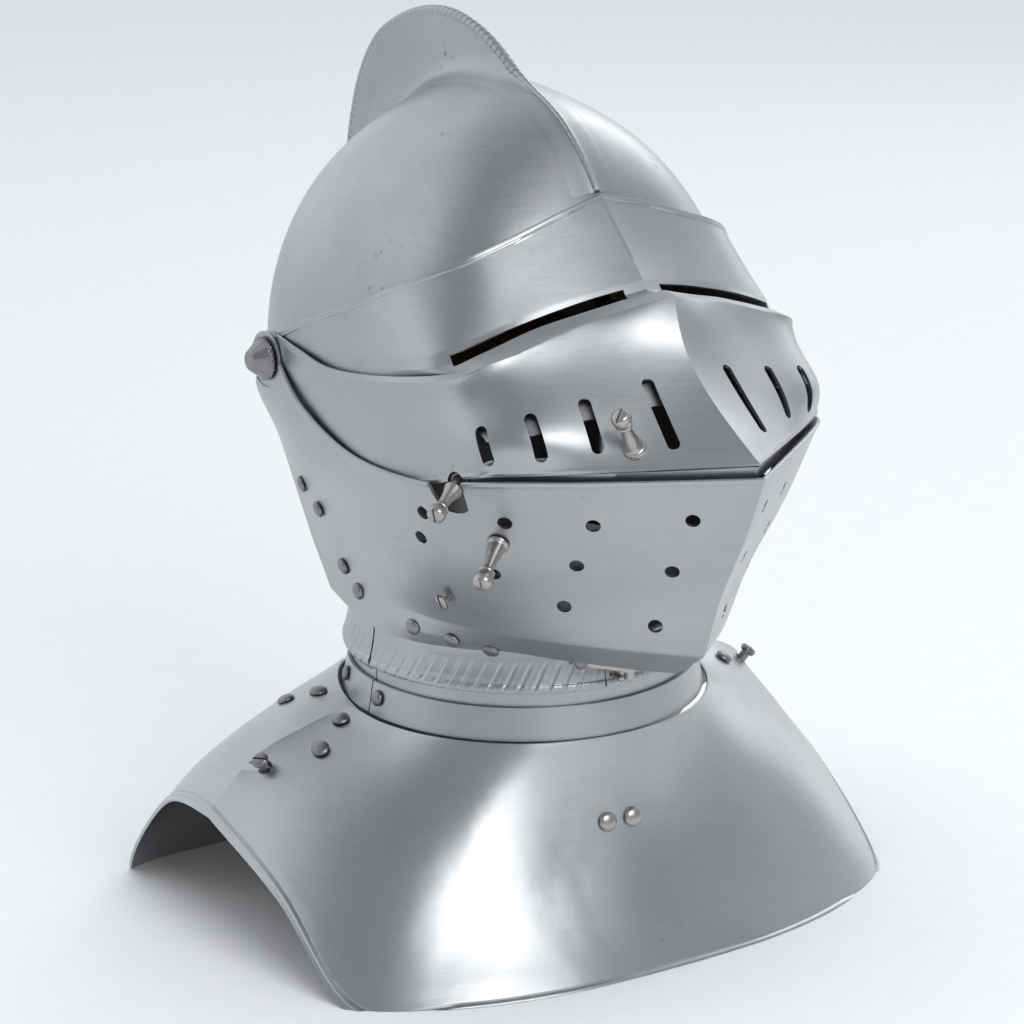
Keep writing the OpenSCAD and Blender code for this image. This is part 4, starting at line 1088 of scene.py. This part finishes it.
# rosettes: faceted cones on a roped foot
for side, node in ((-1, "rosette_right"), (1, "rosette_left")):
    m = pivot_frame(side, ROSETTE_X)

    def facets(r, z, a):
        k = 12
        flat = math.cos(math.pi / k) / np.cos((a + 0.2) % (2 * math.pi / k) - math.pi / k)
        if z < 2.6:
            rope = np.abs(np.sin(14 * a + z * 1.3))
            return r * (0.9 + 0.1 * rope ** 0.6) if r > 8 else np.full_like(a, r)
        return r * flat

    prof = [(PIVOT_BORE, 0.0), (9.4, 0.0), (10.8, 0.5), (11.0, 1.2), (10.8, 1.9), (9.8, 2.5),
            (9.6, 2.7), (8.6, 4.1), (7.2, 5.9), (5.9, 7.6), (4.9, 8.9), (4.2, 9.2),
            (1.6, 9.3), (0.4, 9.1)]
    o = joined("rosette_" + ("r" if side < 0 else "l"), [lathe(prof, m, 168, facets)])
    finish_piece(o, "skull", [node], ROSETTE_STEEL, 24)

# hook, its rivet, stud; turning catch ----------------------------------------------------
hook_out = ring_point(1, 16, 0) - np.array([0, NECK_Y, 0])
hook_p = ring_point(90.6, 16, 145.5)
m = frame_at(hook_p, hook_out, [0.96, -0.12, -0.24])
outline = []
for t in np.linspace(25, 335, 26):
    outline.append((4 * math.cos(math.radians(t)), 4 * math.sin(math.radians(t))))
outline += [(6, -2), (16, -1.75), (25.2, -1.8), (25.6, -2.6), (26.0, -5.4), (26.8, -6.1),
            (28.1, -6.0), (28.6, -5.2), (28.6, 1.2), (28.0, 1.9), (16, 1.8), (6, 2)]
verts, faces = stacked([[(x * a, y * b, z) for x, y in outline] for a, b, z in
                        ((0.985, 0.94, 0), (1, 1, 0.25), (1, 1, 1.3), (0.985, 0.92, 1.6))])
o = make("hook_arm", put(m, verts), faces)
cut(o, [lathe([(1.6, -1), (1.6, 3)], m, 28)])
finish_piece(o, "hook_bar", ["hook_bar"], BRIGHT_STEEL, 40)
o = joined("hook_pin", [lathe([(1.5, -5), (1.5, 1.9), (3.1, 1.9), (3.4, 2.2), (3.1, 2.9),
                               (2.3, 3.5), (1.2, 3.8), (0.3, 3.9)], m, 36)])
finish_piece(o, "bevor", ["hook_rivet"], DARK_STEEL, 50)
m = frame_at(ring_point(89.8, 3.5, 135.2), ring_point(1, 3.5, 0) - np.array([0, NECK_Y, 0]))
o = joined("hook_button", [lathe([(1.6, 0), (1.6, 5.2), (1.4, 5.7), (0.9, 6.0)], m, 28)])
finish_piece(o, "bevor", ["hook_stud"], BRIGHT_STEEL, 50)

m = frame_at(catch_place, catch_axis)
parts = [lathe([(1.5, -5), (1.5, 3)], m, 28)]
outline = [(4.6, -2.1), (5.6, -1.2), (6, 0), (5.6, 1.2), (4.6, 2.1), (1.5, 2.5), (-1.5, 2.5),
           (-2.6, 1.8), (-3, 0.8), (-3, -0.8), (-2.6, -1.8), (-1.5, -2.5), (1.5, -2.5)]
verts, faces = stacked([[(x * s, y * s, z) for x, y in outline] for s, z in
                        ((0.93, 2.8), (1, 3.1), (1, 4.5), (0.86, 5.0))])
parts.append((put(m, verts), faces))
o = slotted("catch_turning", parts, m, 5.0, 1.0)
finish_piece(o, "turn_catch", ["turn_catch"], BRIGHT_STEEL, 40)

# lining ------------------------------------------------------------------------------
COLS, TILTS, GORES, RINGS = 260, np.linspace(87, 4, 90), 20, 5.0
g = np.array([dome_row(even_angles(COLS), t, -3.0) for t in TILTS])
n = normals(g, True)
gore = np.abs(np.sin(np.pi * (np.arange(COLS) / COLS) * GORES)) ** 0.5
hoop = np.abs(np.sin(np.pi * (TILTS / 90.0) * RINGS)) ** 0.5
quilt = np.minimum(gore[None, :], hoop[:, None])
outer, inner = g - n * 0.2, g - n * (3.2 + 4.3 * quilt)[..., None]
cap = bowl("lining_cap", outer, inner, outer[0].mean(axis=0), inner[0].mean(axis=0))
cut(cap, [across([(y + 14, z + 8) for y, z in face_cut])]
    + [pivot_part(14, 80, 120, s) for s in (-1, 1)])
finish_piece(cap, "skull", ["liner_cap"], LINEN, 60)

rows = np.array([lower_row(np.linspace(110, 250, 110), s, -3) for s in
                 ((262, 103.5, 1, 139), (245, 103, 0, 136), (228, 101, -3, 128))])
g = curve(rows, np.linspace(0, 2, 22))
e = np.minimum(from_edge(g, 0), from_edge(g, 21))
band = sheet("leather_band", g, 2.2, -0.35 * bump(e, 3.0, 0.8))
finish_piece(band, "skull", ["lining_band"], LEATHER, 60)

# CAD nodes kept as they are take the same steels
kept = {"collar_lower_front": PLATE_STEEL, "collar_lower_back": PLATE_STEEL,
        "collar_upper_front": PLATE_STEEL, "collar_upper_back": PLATE_STEEL,
        "pivot_spacers": DARK_STEEL, "pivot_bolt_right": DARK_STEEL,
        "pivot_bolt_left": DARK_STEEL, "pivot_nuts": DARK_STEEL, "catch_plate": DARK_STEEL}
for name, material in kept.items():
    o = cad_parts[name]
    for i in range(len(o.material_slots)):
        o.material_slots[i].material = material

# ------------------------------------------------------------------ floor, light, camera

def stage_material():
    n = Nodes("paper")
    n.shader.inputs["Roughness"].default_value = 0.85
    mottle = n.texture("Noise", Scale=60.0)
    n.link(n.ramp(mottle.outputs["Fac"], (0.86, 0.87, 0.88), (0.90, 0.90, 0.91)),
           n.shader.inputs["Base Color"])
    return n.material


FLOOR_HALF, FLOOR_DROP = 6.0, 0.0003
me = bpy.data.meshes.new("floor")
me.from_pydata([(x * FLOOR_HALF, y * FLOOR_HALF, -FLOOR_DROP)
                for x, y in ((-1, -1), (1, -1), (1, 1), (-1, 1))], [], [(0, 1, 2, 3)])
floor = bpy.data.objects.new("floor", me)
bpy.context.scene.collection.objects.link(floor)
me.materials.append(stage_material())


def area(name, at, target, size, power, size_y=None):
    light = bpy.data.lights.new(name, "AREA")
    light.energy = power
    light.size = size
    if size_y:
        light.shape = "RECTANGLE"
        light.size_y = size_y
    o = bpy.data.objects.new(name, light)
    bpy.context.scene.collection.objects.link(o)
    o.location = at
    o.rotation_euler = (Vector(target) - Vector(at)).to_track_quat("-Z", "Y").to_euler()
    return o


area("key", (-0.06, -1.76, 1.34), (0, 0, 0.1), 1.3, 16.5, 0.95)
area("brow", (0.42, -0.86, 1.95), (0, 0, 0.25), 0.55, 0.5, 0.55)
area("edge", (1.7, 1.0, 1.3), (0, 0, 0.3), 0.5, 3.0, 0.9)
paper_light = area("paper_light", (0.3, 0.2, 3.2), (0.1, 0.3, 0), 3.4, 32, 3.4)
paper_light.visible_glossy = False

# a dim room in front and a pale wall behind, lighter to the wearer's left, darker overhead
world = bpy.data.worlds.new("studio")
bpy.context.scene.world = world
world.use_nodes = True
wn = world.node_tree
bg = wn.nodes["Background"]
direction = wn.nodes.new("ShaderNodeTexCoord").outputs["Generated"]


def world_node(kind, values, *feeds, **settings):
    x = wn.nodes.new("ShaderNode" + kind)
    for k, v in settings.items():
        setattr(x, k, v)
    for k, v in values.items():
        x.inputs[k].default_value = v
    for i, feed in enumerate(feeds):
        wn.links.new(feed, x.inputs[i])
    return x.outputs


def lobe(toward, start, end, outside, inside):
    """A smooth change of brightness round one direction of the world."""
    dot = world_node("VectorMath", {1: toward}, direction, operation="DOT_PRODUCT")["Value"]
    return world_node("MapRange", {"From Min": start, "From Max": end, "To Min": outside,
                                   "To Max": inside}, dot,
                      interpolation_type="SMOOTHSTEP")["Result"]


total = lobe((0, 1, 0), -0.12, 0.38, 0.43, 1.04)
for part in (lobe((0.1, 0.22, 0.97), 0.84, 0.985, 1.0, 0.6),
             lobe((0.90, 0.02, 0.43), 0.72, 0.97, 1.0, 1.45)):
    total = world_node("Math", {}, total, part, operation="MULTIPLY")["Value"]
wn.links.new(total, bg.inputs["Strength"])
bg.inputs["Color"].default_value = (0.97, 1.0, 1.025, 1)

CAMERA_DISTANCE = 1.86287
az, el = math.radians(-33.27), math.radians(15.78)
aim = Vector((0, FRAME_Y / 1000.0, 0.240))
back_dir = Vector((math.sin(az) * math.cos(el), -math.cos(az) * math.cos(el), math.sin(el)))
cam_data = bpy.data.cameras.new("camera")
cam = bpy.data.objects.new("camera", cam_data)
bpy.context.scene.collection.objects.link(cam)
cam.location = aim + back_dir * CAMERA_DISTANCE
cam.rotation_euler = back_dir.to_track_quat("Z", "Y").to_euler()
cam_data.sensor_width = 36
cam_data.lens = 131.66
cam_data.shift_x = 0.0056
cam_data.shift_y = -0.0946
cam_data.clip_end = 50
bpy.context.scene.camera = cam
bpy.context.scene.view_settings.view_transform = "Standard"
